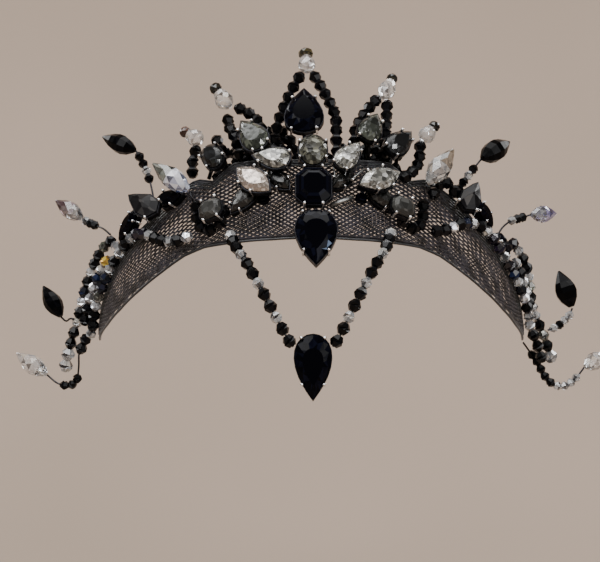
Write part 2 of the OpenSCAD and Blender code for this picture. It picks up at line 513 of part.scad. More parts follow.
module finial_right_4() color(jet) stem_drop(STEMS_RIGHT[1]);
module finial_right_5() color(clear) stem_drop(STEMS_RIGHT[2]);
module finial_right_6() color(jet) stem_drop(STEMS_RIGHT[3]);
module finial_right_7() color(clear) stem_drop(STEMS_RIGHT[4]);

net_band();
frame_wire();
rim_row_left();
rim_row_right();
band_row_left();
band_row_right();
loop_centre();
loop_left();
loop_right();
loop_left_outer();
loop_right_outer();
loop_left_low();
loop_right_low();
drop_strand_left();
drop_strand_right();
pendant_stone();
pendant_setting();
kite_stone();
centre_stone();
crest_stone();
peak_stone();
centre_settings();
left_settings();
right_settings();
clear_navette_left();
clear_navette_right();
clear_pear_left();
clear_pear_right();
smoke_navette_left();
smoke_navette_right();
smoke_pear_left();
smoke_pear_right();
cushion_stone_left();
cushion_stone_right();
loop_pear_left();
loop_pear_right();
outer_stone_left();
outer_stone_right();
petal_stone_left();
petal_stone_right();
square_beads();
rim_leaves_left();
rim_leaves_right();
stems_left();
stems_right();
finial_top();
finial_left_1();
finial_left_2();
finial_left_3();
finial_left_4();
finial_left_5();
finial_left_6();
finial_left_7();
finial_right_1();
finial_right_2();
finial_right_3();
finial_right_4();
finial_right_5();
finial_right_6();
finial_right_7();
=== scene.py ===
"""Ballet tiara: the looks of its net, beads, stones, settings and drops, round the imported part.

Sizes are in millimetres and degrees, as in the part's source, until a piece is closed off in metres.
"""

from __future__ import annotations

import logging
import math
import random
from abc import ABC, abstractmethod
from collections.abc import Callable, Sequence
from dataclasses import dataclass, field
from enum import Enum
from functools import cache
from typing import Protocol

import bmesh
import bpy
from mathutils import Matrix, Vector

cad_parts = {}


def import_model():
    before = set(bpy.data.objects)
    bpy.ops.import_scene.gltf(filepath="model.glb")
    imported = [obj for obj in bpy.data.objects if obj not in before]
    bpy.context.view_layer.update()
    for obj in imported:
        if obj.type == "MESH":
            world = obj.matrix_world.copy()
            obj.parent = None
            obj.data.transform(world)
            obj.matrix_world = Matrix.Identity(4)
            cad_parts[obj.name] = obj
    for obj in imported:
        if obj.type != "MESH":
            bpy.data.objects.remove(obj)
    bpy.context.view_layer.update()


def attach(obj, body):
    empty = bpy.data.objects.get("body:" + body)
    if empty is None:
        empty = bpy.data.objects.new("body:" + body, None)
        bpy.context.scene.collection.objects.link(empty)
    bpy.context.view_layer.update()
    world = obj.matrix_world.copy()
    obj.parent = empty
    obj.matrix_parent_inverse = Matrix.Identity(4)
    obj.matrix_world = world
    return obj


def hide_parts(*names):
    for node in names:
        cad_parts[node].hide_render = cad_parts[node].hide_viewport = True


LOG = logging.getLogger("tiara")
METRES_PER_MM = 0.001
MM_PER_METRE = 1000.0
# The record's material slots
JET_BEADS, JET, CLEAR, SMOKE = "jet_beads", "jet_stone", "clear_stone", "smoke_stone"
SILVER, SILVER_WIRE, NET_SLOT = "silver_settings", "silver_wire", "net"
Points = list[Vector]


def linear(hex_colour: str) -> tuple[float, float, float, float]:
    """Turn an sRGB hex colour to the linear values that a shader takes.

    Args:
        hex_colour: The colour as "#rrggbb".

    Returns:
        Red, green, blue and alpha, linear.
    """
    parts = [int(hex_colour[i : i + 2], 16) / 255 for i in (1, 3, 5)]
    light = [c / 12.92 if c <= 0.04045 else ((c + 0.055) / 1.055) ** 2.4 for c in parts]
    return light[0], light[1], light[2], 1.0


def add_node(
    tree: bpy.types.NodeTree,
    kind: str,
    settings: dict[str | int, object] | None = None,
    links: dict[str | int, bpy.types.Node | bpy.types.NodeSocket] | None = None,
) -> bpy.types.Node:
    """Add one node with its settings and its links.

    Args:
        tree: The material's node tree.
        kind: The node's type name, less its "ShaderNode".
        settings: Values for its properties or inputs; "stops" gives a colour ramp's places and colours.
        links: What feeds each input: an output, or a node for its first output.

    Returns:
        The new node.
    """
    node = tree.nodes.new(f"ShaderNode{kind}")
    for key, value in (settings or {}).items():
        if key == "stops":
            elements = node.color_ramp.elements
            while len(elements) < len(value):
                elements.new(0.5)
            for element, (place, colour) in zip(elements, value):
                element.position = place
                element.color = linear(colour)
        elif isinstance(key, int) or key in node.inputs:
            node.inputs[key].default_value = value
        else:
            setattr(node, key, value)
    for key, source in (links or {}).items():
        tree.links.new(source.outputs[0] if isinstance(source, bpy.types.Node) else source, node.inputs[key])
    return node


@dataclass(frozen=True)
class Finish(ABC):
    """What every finish has: its name and the record's slot."""

    name: str
    slot: str

    @abstractmethod
    def shader(self, tree: bpy.types.NodeTree) -> bpy.types.Node:
        """Add the finish's nodes and return its shader."""

    def make(self) -> bpy.types.Material:
        """Return the finish as a material.

        Returns:
            A new material with the finish's nodes.
        """
        material = bpy.data.materials.new(self.name)
        material.use_nodes = True
        tree = material.node_tree
        tree.nodes.clear()
        add_node(tree, "OutputMaterial", {}, {"Surface": self.shader(tree)})
        return material


@dataclass(frozen=True)
class JetGlass(Finish):
    """Pressed and polished black glass: near-black facets, a few with a cold tint, and small sharp lights, some
    of them painted highlights.
    """

    deep: str
    tint: str
    bright: str
    roughness: float = 0.09
    shine: float = 0.18
    mark_mm: float = 0.2

    def shader(self, tree: bpy.types.NodeTree) -> bpy.types.Node:
        """Return the shader: each facet has its own tone, with polishing marks mark_mm apart.

        Args:
            tree: The material's node tree.

        Returns:
            The shader's node.
        """
        facet = add_node(tree, "Attribute", {"attribute_name": "facet"}).outputs["Fac"]
        # The bright stop at the top is a painted highlight, which only facets picked out as painted glints take
        # in full
        stops = [(0.0, self.deep), (0.5, self.deep), (0.92, self.tint), (1.0, self.bright)]
        tone = add_node(tree, "ValToRGB", {"stops": stops}, {"Fac": facet})
        place = add_node(tree, "TexCoord").outputs["Object"]
        pattern = {"Scale": MM_PER_METRE / self.mark_mm, "Detail": 2.0}
        marks = add_node(tree, "TexNoise", pattern, {"Vector": place})
        span = {"To Min": self.roughness * 0.6, "To Max": self.roughness * 1.8}
        rough = add_node(tree, "MapRange", span, {"Value": marks})
        bump = add_node(tree, "Bump", {"Strength": 0.05, "Distance": 0.00005}, {"Height": marks})
        return add_node(
            tree,
            "BsdfPrincipled",
            {"IOR": 1.5, "Specular IOR Level": self.shine},
            {"Base Color": tone, "Roughness": rough, "Normal": bump},
        )


@dataclass(frozen=True)
class FoiledCrystal(Finish):
    """Cut glass with silver foil behind it: each facet throws a different part of the room back, painted in as
    light and dark reflections.
    """

    dark: str
    middle: str
    light: str
    warm: str
    cell_mm: float = 1.5
    metal: float = 0.65
    polish: float = 1.0
    shine: float = 0.5

    def shader(self, tree: bpy.types.NodeTree) -> bpy.types.Node:
        """Return the shader: foil with the back facets' reflections painted in, light and dark, under a clear
        polished top.

        Args:
            tree: The material's node tree.

        Returns:
            The shader's node.
        """
        facet = add_node(tree, "Attribute", {"attribute_name": "facet"}).outputs["Fac"]
        place = add_node(tree, "TexCoord").outputs["Object"]
        # The back facets, cell_mm across, as the crown shows them: cells of painted reflection
        cells = {"Scale": MM_PER_METRE / self.cell_mm, "Randomness": 1.0}
        back = add_node(tree, "TexVoronoi", cells, {"Vector": place})
        grey = add_node(tree, "SeparateColor", {}, {"Color": back.outputs["Color"]})
        both = add_node(tree, "Math", {"operation": "ADD"}, {0: facet, 1: grey.outputs["Red"]})
        half = add_node(tree, "Math", {"operation": "MULTIPLY", 1: 0.5}, {0: both})
        # Painted reflections: facet tone and cell tone together pick dark, middle, light and warm bands
        stops = [
            (0.1, self.dark), (0.34, self.middle), (0.5, self.dark), (0.6, self.light), (0.67, self.dark),
            (0.78, self.warm), (0.94, self.light),
        ]
        tone = add_node(tree, "ValToRGB", {"stops": stops}, {"Fac": half})
        rough = add_node(tree, "MapRange", {"To Min": 0.08, "To Max": 0.3}, {"Value": grey.outputs["Green"]})
        tilt = add_node(tree, "Bump", {"Strength": 0.35, "Distance": 0.0003}, {"Height": back})
        gloss = {"Specular IOR Level": self.shine, "Coat Weight": self.polish, "Coat Roughness": 0.02}
        return add_node(
            tree,
            "BsdfPrincipled",
            {"IOR": 1.56, "Metallic": self.metal, **gloss},
            {"Base Color": tone, "Roughness": rough, "Normal": tilt},
        )


@dataclass(frozen=True)
class CutCrystal(Finish):
    """Machine-cut clear glass with no foil: facets painted bright and dark as reflections, with the background
    bent through it.
    """

    shade: str = "#3c3d42"
    middle: str = "#a4a6aa"
    body: str = "#fbfcfd"
    flash: str = "#f3efe2"
    transmission: float = 0.8
    flow_mm: float = 1.0

    def shader(self, tree: bpy.types.NodeTree) -> bpy.types.Node:
        """Return the shader: clear glass, slightly toned facet by facet with painted dark and bright
        reflections, with flow lines flow_mm apart.

        Args:
            tree: The material's node tree.

        Returns:
            The shader's node.
        """
        facet = add_node(tree, "Attribute", {"attribute_name": "facet"}).outputs["Fac"]
        # Painted reflections: shade is the colour of facets painted dark, flash that of facets painted as
        # highlights
        stops = [(0.0, self.shade), (0.24, self.middle), (0.42, self.body), (0.8, self.body), (0.9, self.flash)]
        tone = add_node(tree, "ValToRGB", {"stops": stops}, {"Fac": facet})
        place = add_node(tree, "TexCoord").outputs["Object"]
        pattern = {"Scale": MM_PER_METRE / self.flow_mm, "Detail": 1.0}
        flow = add_node(tree, "TexNoise", pattern, {"Vector": place})
        rough = add_node(tree, "MapRange", {"To Min": 0.0, "To Max": 0.05}, {"Value": flow})
        return add_node(
            tree,
            "BsdfPrincipled",
            {"IOR": 1.58, "Transmission Weight": self.transmission, "Coat Weight": 0.6, "Coat Roughness": 0.01},
            {"Base Color": tone, "Roughness": rough},
        )


@dataclass(frozen=True)
class WorkedMetal(Finish):
    """Plated brass or wire, drawn and tumbled: a metal with soft wear and fine scratches."""

    bright: str
    worn: str
    roughness: float
    grain_mm: float = 0.4

    def shader(self, tree: bpy.types.NodeTree) -> bpy.types.Node:
        """Return the shader: the plating's tone and polish vary over the piece.

        Args:
            tree: The material's node tree.

        Returns:
            The shader's node.
        """
        place = add_node(tree, "TexCoord").outputs["Object"]
        pattern = {"Scale": MM_PER_METRE / self.grain_mm, "Detail": 3.0}
        grain = add_node(tree, "TexNoise", pattern, {"Vector": place})
        tone = add_node(tree, "ValToRGB", {"stops": [(0.3, self.worn), (0.6, self.bright)]}, {"Fac": grain})
        span = {"To Min": self.roughness * 0.7, "To Max": self.roughness * 1.5}
        rough = add_node(tree, "MapRange", span, {"Value": grain})
        bump = add_node(tree, "Bump", {"Strength": 0.1, "Distance": 0.00005}, {"Height": grain})
        return add_node(
            tree, "BsdfPrincipled", {"Metallic": 1.0}, {"Base Color": tone, "Roughness": rough, "Normal": bump}
        )


@dataclass(frozen=True)
class NylonThread(Finish):
    """Knitted nylon: black, with a dull sheen painted on in patches along the threads."""

    dark: str = "#121217"
    shine: str = "#3c3b44"
    twist_mm: float = 0.5
    sheen_patch_mm: float = 5.0

    def shader(self, tree: bpy.types.NodeTree) -> bpy.types.Node:
        """Return the shader: stretches of thread with a painted sheen and stretches without, a few millimetres
        long, and a fine twist.

        Args:
            tree: The material's node tree.

        Returns:
            The shader's node.
        """
        place = add_node(tree, "TexCoord").outputs["Object"]
        # Painted sheen: the broad noise named pull lifts the thread from its dark colour to its shine colour
        pattern = {"Scale": MM_PER_METRE / self.sheen_patch_mm, "Detail": 2.0}
        pull = add_node(tree, "TexNoise", pattern, {"Vector": place})
        tone = add_node(tree, "ValToRGB", {"stops": [(0.35, self.dark), (0.7, self.shine)]}, {"Fac": pull})
        pattern = {"Scale": MM_PER_METRE / self.twist_mm, "Detail": 1.0}
        twist = add_node(tree, "TexNoise", pattern, {"Vector": place})
        bump = add_node(tree, "Bump", {"Strength": 0.4, "Distance": 0.0001}, {"Height": twist})
        return add_node(
            tree,
            "BsdfPrincipled",
            {"Roughness": 0.42, "Sheen Weight": 0.25, "Sheen Roughness": 0.4},
            {"Base Color": tone, "Normal": bump},
        )


@dataclass(frozen=True)
class PaintedWall(Finish):
    """Matt paint on plaster, warm greige, with a faint roller texture."""

    deep: str = "#948476"
    colour: str = "#9e8d7f"
    cloud_mm: float = 500.0

    def shader(self, tree: bpy.types.NodeTree) -> bpy.types.Node:
        """Return the shader: two close tones in soft clouds, cloud_mm across.

        Args:
            tree: The material's node tree.

        Returns:
            The shader's node.
        """
        place = add_node(tree, "TexCoord").outputs["Object"]
        pattern = {"Scale": MM_PER_METRE / self.cloud_mm, "Detail": 2.0}
        cloud = add_node(tree, "TexNoise", pattern, {"Vector": place})
        tone = add_node(tree, "ValToRGB", {"stops": [(0.35, self.deep), (0.65, self.colour)]}, {"Fac": cloud})
        return add_node(tree, "BsdfPrincipled", {"Roughness": 0.9}, {"Base Color": tone})


class Look(Enum):
    """The finishes, by what wears them, with their slots and their colours in the order of their fields."""

    # Pressed glass: black facets with small sharp lights, some of them painted highlights, and a deep colour in
    # a few
    JET_BEAD = JetGlass("jet_glass_beads", JET_BEADS, "#020203", "#08080c", "#16171f", 0.2, 0.14)
    PURPLE_BEAD = JetGlass("purple_glass_beads", JET_BEADS, "#07040c", "#1b1328", "#4a3f68", shine=0.5)
    NAVY_BEAD = JetGlass("navy_glass_beads", JET_BEADS, "#04060c", "#141f3c", "#6f86b8", shine=0.5)
    JET_STONE = JetGlass("jet_glass_stones", JET, "#020205", "#090b16", "#5b6a80", 0.06, 0.05)
    JET_DROP = JetGlass("jet_glass_drops", JET, "#020203", "#08080c", "#101218", 0.14, 0.05)
    # Metal-coated ends of drops: dark with a coloured glint
    DARK_TIP = JetGlass("coated_drop_tips", CLEAR, "#0b0a08", "#2a271c", "#6d6a50", 0.05, 0.5)
    BROWN_TIP = JetGlass("brown_drop_tips", CLEAR, "#2a1a14", "#5a4036", "#8f7468", 0.1, 0.4)
    GOLD_TIP = JetGlass("gold_drop_tips", CLEAR, "#1c1a10", "#4a4020", "#c8a858", 0.08, 0.6)
    # Clear or tinted glass, machine-cut: facets painted dark and bright as reflections, with the room bent
    # through them
    CLEAR_BEAD = CutCrystal("clear_crystal_beads", CLEAR, "#2a2b30", "#85878b", "#e2e4e6", transmission=0.7)
    CLEAR_DROP = CutCrystal("clear_crystal_drops", CLEAR, middle="#b9babd", transmission=0.86)
    AURORA_DROP = CutCrystal("aurora_crystal_drops", CLEAR, "#3c3d42", "#8a93b4", "#f2f5ff", "#5f78c8", 0.6)
    MOSS_DROP = CutCrystal("moss_glass_drops", CLEAR, "#262a2a", "#59615e", "#8f9a96", "#c9cfc9")
    BROWN_DROP = CutCrystal("brown_glass_drops", CLEAR, "#2b2620", "#5d5245", "#a89b8c", "#e8e2d8")
    WINE_DROP = CutCrystal("wine_glass_drops", CLEAR, "#2a1c22", "#5a3f48", "#8a8084", "#d8c8d0")
    VIOLET_DROP = CutCrystal("violet_glass_drops", CLEAR, "#221d3c", "#4a4888", "#a6a4d0", "#e0dcf0")
    # Clear glass with foil behind: painted reflections that turn facets from white to near black side by side
    # Silver-lined beads set where white glints show: their white is partly silver lining and partly a painted
    # glint
    SILVER_LINED = FoiledCrystal("silver_lined_glint_beads", CLEAR, "#77777b", "#b9bbc0", "#ffffff", "#dfe3ee")
    GOLD_FLASH = FoiledCrystal("gold_flash_bead", CLEAR, "#8a6200", "#e0a512", "#ffdf5a", "#d9b23a")
    FOILED_CLEAR = FoiledCrystal(
        "foiled_clear_stones", CLEAR, "#262623", "#8f8e88", "#f4f4f1", "#bab7a8", metal=0.4
    )
    FOILED_DULL = FoiledCrystal(
        "foiled_dull_stone", CLEAR, "#1f1f1d", "#6c6b66", "#b3b2ad", "#87857a", metal=0.5, polish=0.7
    )
    FOILED_CREAM = FoiledCrystal("foiled_cream_stone", CLEAR, "#85796f", "#a3988f", "#d8cec7", "#bcaca2")
    # Smoky glass with tarnished foil: dark facets, with cloudy painted reflections and few painted lights
    SMOKE_BEAD = FoiledCrystal("smoke_glass_beads", SMOKE, "#1c1b18", "#4a4842", "#8b8a80", "#5d6456", 1.2)
    FOILED_SMOKE = FoiledCrystal(
        "foiled_smoke_stones", SMOKE, "#12120f", "#38372e", "#6e6d61", "#464432", 1.8, 0.3, 0.4, 0.35
    )
    GREY_STONE = FoiledCrystal(
        "grey_glass_stones", SMOKE, "#1c1c1b", "#2f2f2d", "#545452", "#3c3b37", 2.6, 0.1, 0.05, 0.25
    )
    MOSS_STONE = FoiledCrystal(
        "moss_glass_stones", SMOKE, "#121411", "#2c2f29", "#5a5e53", "#3c3f38", 2.0, 0.15, 0.15, 0.3
    )
    DEEP_SMOKE = FoiledCrystal(
        "deep_smoke_stones", SMOKE, "#080808", "#171716", "#454543", "#252420", 1.9, 0.15, 0.1, 0.3
    )
    PETAL_STONE = FoiledCrystal(
        "petal_glass_stones", SMOKE, "#0c0b0d", "#181718", "#444241", "#232121", 4.0, 0.0, 0.0, 0.06
    )
    BLACK_DIAMOND = FoiledCrystal(
        "black_diamond_stones", JET, "#050506", "#101112", "#303235", "#191b17", 2.2, 0.1, 0.12, 0.2
    )
    # Plated and blackened metal: bright only on the claws' tips
    CUP = WorkedMetal("gunmetal_cups", SILVER, "#2c2c30", "#141416", 0.32)
    CLAW = WorkedMetal("silver_claws", SILVER, "#f4f4f4", "#8a8a8e", 0.16, grain_mm=3.0)
    BAR = WorkedMetal("dull_silver_bars", SILVER, "#9a9a98", "#6c6c6a", 0.35)
    WIRE = WorkedMetal("darkened_wire", SILVER_WIRE, "#3c3c40", "#17171a", 0.3)
    # Knitted and folded nylon with painted sheen: open and slightly shiny, or dense and dull
    NET = NylonThread("black_nylon_net", NET_SLOT)
    PLEAT = NylonThread("pleated_nylon_net", NET_SLOT, "#0b0f0e", "#1f2624", 0.8)
    BINDING = NylonThread("black_edge_binding", NET_SLOT, "#08080a", "#1d1d21", 0.8)
    # Plain stage, which has no slot
    WALL = PaintedWall("matt_wall_paint", "")


@cache
def material_of(look: Look) -> bpy.types.Material:
    """Return a finish's material, made once."""
    return look.value.make()


@dataclass(frozen=True)
class BandShape:
    """The curve of the band: an elongated half-ellipse, lifted at the front."""

    half_w: float = 76.0
    depth: float = 70.0
    slim: float = 1.25
    tilt: float = 30.0
    end: float = 84.0
    foot_up: float = 0.5
    foot_o: float = 1.7
    top: tuple[tuple[float, float], ...] = (
        (0, 30), (13, 31.5), (20, 32.5), (26, 27.5), (31, 30.5), (42, 26.5), (48, 23), (60, 19.5), (74, 12),
        (90, 2),
    )
    low: tuple[tuple[float, float], ...] = (
        (0, 0), (10, 0.3), (20, 1.4), (28, 2.6), (34, 2), (42, -0.5), (50, -2.4), (60, -3.9), (70, -4),
        (80, -2.3), (90, 0),
    )

    def tilted(self, point: Vector) -> Vector:
        """Return a point of the level band, turned to the band's lift."""
        return Matrix.Rotation(math.radians(-self.tilt), 3, "X") @ point

    def plan(self, t: float) -> Vector:
        """Return the level band's lower edge at t degrees from its front."""
        inset = max(math.cos(math.radians(t)), 0.0)
        return Vector((self.half_w * math.sin(math.radians(t)), -self.depth * inset**self.slim, 0.0))

    def along(self, t: float) -> Vector:
        """Return the level band's direction at t degrees.

        Args:
            t: Degrees round the band.

        Returns:
            Its direction, one long.
        """
        inset = max(math.cos(math.radians(t)), 0.0)
        x = self.half_w * inset ** (2 - self.slim)
        return Vector((x, self.depth * self.slim * math.sin(math.radians(t)), 0.0)).normalized()

    def outward(self, t: float) -> Vector:
        """Return the level band's outward direction at t degrees."""
        along = self.along(t)
        return Vector((along.y, -along.x, 0.0))

    def wall(self, t: float, u: float, o: float) -> Vector:
        """Return the point at t degrees, u up the band and o out from the middle of the net."""
        return self.tilted(self.plan(t) + Vector((0.0, 0.0, u)) + o * self.outward(t))

    @staticmethod
    def _at(rows: Sequence[tuple[float, float]], t: float) -> float:
        """Return a height from its table of degrees and heights.

        Args:
            rows: Degrees from the front, rising, with the height at each.
            t: Degrees round the band.

        Returns:
            The height there, the same on both sides.
        """
        t = abs(t)
        for (t0, u0), (t1, u1) in zip(rows, rows[1:]):
            if t <= t1:
                return u0 + (u1 - u0) * (t - t0) / (t1 - t0)
        return rows[-1][1]

    def net_top(self, t: float) -> float:
        """Return the height of the net's upper edge at t degrees."""
        return self._at(self.top, t)

    def net_low(self, t: float) -> float:
        """Return the height of the net's lower edge at t degrees."""
        return self._at(self.low, t)

    def foot(self, t: float) -> Vector:
        """Return where a string starts, just over the wire on the net's upper edge."""
        return self.wall(t, self.net_top(t) + self.foot_up, self.foot_o)

    def seat(self, t: float, u: float, o: float, roll: float = 0.0, turn: float = 0.0) -> Matrix:
        """Return the frame of something that sits on the band.

        Args:
            t: Degrees round the band.
            u: Height up the band.
            o: Standoff from the middle of the net.
            roll: Turn on the band's surface.
            turn: Turn about the band's upright.

        Returns:
            The frame, with its z outwards.
        """
        axes = (self.tilted(self.along(t)), self.tilted(Vector((0, 0, 1))), self.tilted(self.outward(t)))
        frame = Matrix(axes).transposed().to_4x4()
        frame.translation = self.wall(t, u, o)
        return frame @ Matrix.Rotation(math.radians(turn), 4, "Y") @ Matrix.Rotation(math.radians(roll), 4, "Z")


BAND = BandShape()
wall = BAND.wall
# Standoffs from the middle of the net: strings on it, strings behind it, cups on it, cups over the strings,
# and the ends of the wires that carry those
STRING_O = 2.9
BACK_ROW_O = -2.2
LOW_O = 0.8
HIGH_O = 5.6
SHANK_O = 1.4


class StringPath:
    """A smooth path through a few points, measured along its length."""

    steps = 8
    reach = 0.4

    def __init__(self, points: Points) -> None:
        """Lay the path through its points.

        Args:
            points: Two or more points, in order.
        """
        ends = [2 * points[0] - points[1], *points, 2 * points[-1] - points[-2]]
        self.places: Points = []
        for a, b, c, d in zip(ends, ends[1:], ends[2:], ends[3:]):
            for k in range(self.steps):
                s = k / self.steps
                curve = (2 * a - 5 * b + 4 * c - d) * s * s + (3 * b - a - 3 * c + d) * s**3
                self.places.append(0.5 * (2 * b + (c - a) * s + curve))
        self.places.append(points[-1].copy())
        self.marks = [0.0]
        for p, q in zip(self.places, self.places[1:]):
            self.marks.append(self.marks[-1] + (q - p).length)
        self.total = self.marks[-1]

    def at(self, distance: float) -> Vector:
        """Return the point at a distance along the path, going straight on past its ends.

        Args:
            distance: Length of path from its first end.

        Returns:
            The point.
        """
        i = max(0, min(len(self.marks) - 2, sum(1 for m in self.marks if m <= distance) - 1))
        share = (distance - self.marks[i]) / (self.marks[i + 1] - self.marks[i])
        return self.places[i].lerp(self.places[i + 1], share)

    def spaced(self, step: float) -> Points:
        """Return evenly spaced points of the path, about a step apart."""
        count = max(2, int(self.total / step))
        return [self.at(self.total * k / count) for k in range(count + 1)]

    def frame(self, distance: float, spin: float) -> Matrix:
        """Return the frame at a distance, with z along the path, spun about it by some degrees.

        Args:
            distance: Length of path from its first end.
            spin: Degrees about the path.

        Returns:
            The frame.
        """
        run = (self.at(distance + self.reach) - self.at(distance - self.reach)).normalized()
        turned = run.to_track_quat("Z", "Y").to_matrix().to_4x4() @ Matrix.Rotation(math.radians(spin), 4, "Z")
        turned.translation = self.at(distance)
        return turned


def loft(bm: bmesh.types.BMesh, rings: Sequence[Points]) -> list[bmesh.types.BMFace]:
    """Extrude a ring of edges through a row of outlines and close its ends.

    Args:
        bm: The mesh to add to.
        rings: Outlines of the same number of points.

    Returns:
        The new faces.
    """
    before = set(bm.faces)
    step = bm.verts.layers.int.get("step") or bm.verts.layers.int.new("step")
    made = bmesh.ops.create_circle(bm, cap_ends=False, segments=len(rings[0]), radius=1.0)["verts"]
    made.sort(key=lambda v: math.atan2(v.co.y, v.co.x) % math.tau)
    for i, vert in enumerate(made):
        vert[step] = i
        vert.co = rings[0][i]
    edges = list({edge for vert in made for edge in vert.link_edges})
    ends = [edges]
    for ring in rings[1:]:
        grown = bmesh.ops.extrude_edge_only(bm, edges=edges)["geom"]
        verts = [g for g in grown if isinstance(g, bmesh.types.BMVert)]
        edges = [g for g in grown if isinstance(g, bmesh.types.BMEdge) and all(v in verts for v in g.verts)]
        for vert in verts:
            vert.co = ring[vert[step]]
    ends.append(edges)
    for loop in ends:
        bmesh.ops.contextual_create(bm, geom=loop)
    return [face for face in bm.faces if face not in before]


def tube(bm: bmesh.types.BMesh, path: Points, radius: float | list[float], sides: int = 8) -> None:
    """Sweep a round along a path.

    Args:
        bm: The mesh to add to.
        path: The points it follows.
        radius: One radius, or one for each point.
        sides: The number of sides.
    """
    radii = radius if isinstance(radius, list) else [radius] * len(path)
    rings: list[Points] = []
    run = (path[1] - path[0]).normalized()
    side = run.orthogonal().normalized()
    for i, point in enumerate(path):
        ahead = (path[min(i + 1, len(path) - 1)] - path[max(i - 1, 0)]).normalized()
        side = run.rotation_difference(ahead) @ side
        run = ahead
        spokes = [Matrix.Rotation(math.tau * k / sides, 3, run) @ side for k in range(sides)]
        rings.append([point + radii[i] * spoke for spoke in spokes])
    for face in loft(bm, rings):
        face.smooth = len(face.verts) == 4


# The most that a facet's drawn tone may be, the tones being painted reflections: a stone's table stays darker
# than its small facets, and a facet that is picked out as a painted glint takes the full tone
TABLE_TONE = 0.45
FACET_TONE = 0.93
PAINTED_GLINT_TONE = 1.0


def close_piece(
    bm: bmesh.types.BMesh,
    name: str,
    look: Look,
    nodes: Sequence[str] = (),
    seed: int = 1,
    slot: str | None = None,
) -> bpy.types.Object:
    """Make the finished piece: in metres, dressed, riding on the part.

    Args:
        bm: The mesh, in millimetres.
        name: The piece's name.
        look: Its finish.
        nodes: The CAD nodes that it stands for.
        seed: Seed of the facets' painted tones.
        slot: The record's material slot, where it isn't the finish's own; it is not used.

    Returns:
        The piece.
    """
    tones = random.Random(seed)
    facet = bm.faces.layers.float.new("facet")
    # Painted light: facets marked as glints take the full painted tone, and the rest a random painted
    # reflection tone
    painted_glint = bm.faces.layers.int.get("painted_glint")
    for face in bm.faces:
        most = TABLE_TONE if len(face.verts) > 4 else FACET_TONE
        face[facet] = PAINTED_GLINT_TONE if painted_glint and face[painted_glint] else most * tones.random()
    bmesh.ops.recalc_face_normals(bm, faces=bm.faces)
    bmesh.ops.scale(bm, vec=(METRES_PER_MM,) * 3, verts=bm.verts)
    mesh = bpy.data.meshes.new(name)
    bm.to_mesh(mesh)
    bm.free()
    mesh.materials.append(material_of(look))
    piece = bpy.data.objects.new(name, mesh)
    bpy.context.scene.collection.objects.link(piece)
    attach(piece, "root")
    slot or look.value.slot
    if nodes:
        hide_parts(*nodes)
    LOG.info("%s: %d faces, %s", name, len(mesh.polygons), look.value.name)
    return piece


class Bead(Enum):
    """Strung beads: the letter in a pattern, the finish, the width and the length."""

    JET = ("B", Look.JET_BEAD, 4.4, 4.0)
    CLEAR = ("c", Look.CLEAR_BEAD, 3.9, 3.5)
    BIG_CLEAR = ("C", Look.CLEAR_BEAD, 5.2, 4.2)
    # White beads sit where glints show: their white is partly silver lining and partly a painted glint
    WHITE = ("w", Look.SILVER_LINED, 4.0, 3.8)
    PURPLE = ("p", Look.PURPLE_BEAD, 4.4, 4.0)
    NAVY = ("n", Look.NAVY_BEAD, 4.4, 4.0)
    SMOKE = ("g", Look.SMOKE_BEAD, 4.2, 4.0)
    GOLD = ("o", Look.GOLD_FLASH, 4.0, 4.0)
    SMALL_JET = ("b", Look.JET_BEAD, 3.5, 3.1)
    SMALL_CLEAR = ("s", Look.CLEAR_BEAD, 3.3, 3.0)

    def __init__(self, letter: str, look: Look, width: float, length: float) -> None:
        """Keep the kind's facts."""
        self.letter, self.look, self.width, self.length = letter, look, width, length


BEAD_OF = {bead.letter: bead for bead in Bead}
# Shares of a bead: its end's radius by its width, half its waist's and each cone's length by its own
END_SHARE, WAIST_SHARE, CONE_SHARE = 0.27, 0.13, 0.37


@cache
def bead_mesh(kind: Bead) -> bpy.types.Mesh:
    """Return a bicone bead along z: two six-sided cones, half a facet out of step, with a zigzag waist.

    Args:
        kind: The kind of bead.

    Returns:
        Its mesh, in millimetres, made once for each kind.
    """
    bm = bmesh.new()
    waist, end, cone = kind.width / 2, kind.width * END_SHARE, CONE_SHARE * kind.length
    for sign, turn in ((1, 0.0), (-1, 30.0)):
        middle = sign * (WAIST_SHARE * kind.length + cone / 2)
        place = Matrix.Rotation(math.radians(turn), 4, "Z") @ Matrix.Translation((0, 0, middle))
        low, high = (waist, end) if sign > 0 else (end, waist)
        bmesh.ops.create_cone(
            bm, cap_ends=False, segments=6, radius1=low, radius2=high, depth=cone, matrix=place
        )
    open_edges = [e for e in bm.edges if e.is_boundary]
    rims = [e for e in open_edges if all(v.co.xy.length > 0.9 * waist for v in e.verts)]
    bmesh.ops.bridge_loops(bm, edges=rims)
    bmesh.ops.holes_fill(bm, edges=[e for e in bm.edges if e.is_boundary], sides=0)
    mesh = bpy.data.meshes.new(f"bead_{kind.name.lower()}")
    bm.to_mesh(mesh)
    bm.free()
    return mesh


def close_beads(
    node: str, placed: list[tuple[Bead, Matrix]], group_of: Callable[[Bead], Enum], seed: int = 1
) -> None:
    """Close off one piece for each group of beads.

    Args:
        node: The CAD node that they stand for.
        placed: Each bead's kind and frame.
        group_of: What beads of one piece have in common, which also names the piece.
        seed: Seed of the facets' tones.
    """
    kinds = list(dict.fromkeys(bead for bead, _ in placed))
    for group in dict.fromkeys(group_of(kind) for kind in kinds):
        bm = bmesh.new()
        members = [kind for kind in kinds if group_of(kind) is group]
        for kind in members:
            for frame in [frame for bead, frame in placed if bead is kind]:
                start = len(bm.verts)
                bm.from_mesh(bead_mesh(kind))
                bm.verts.ensure_lookup_table()
                bmesh.ops.transform(bm, matrix=frame, verts=bm.verts[start:])
        close_piece(bm, f"{node}_{group.name.lower()}", members[0].look, [node], seed)


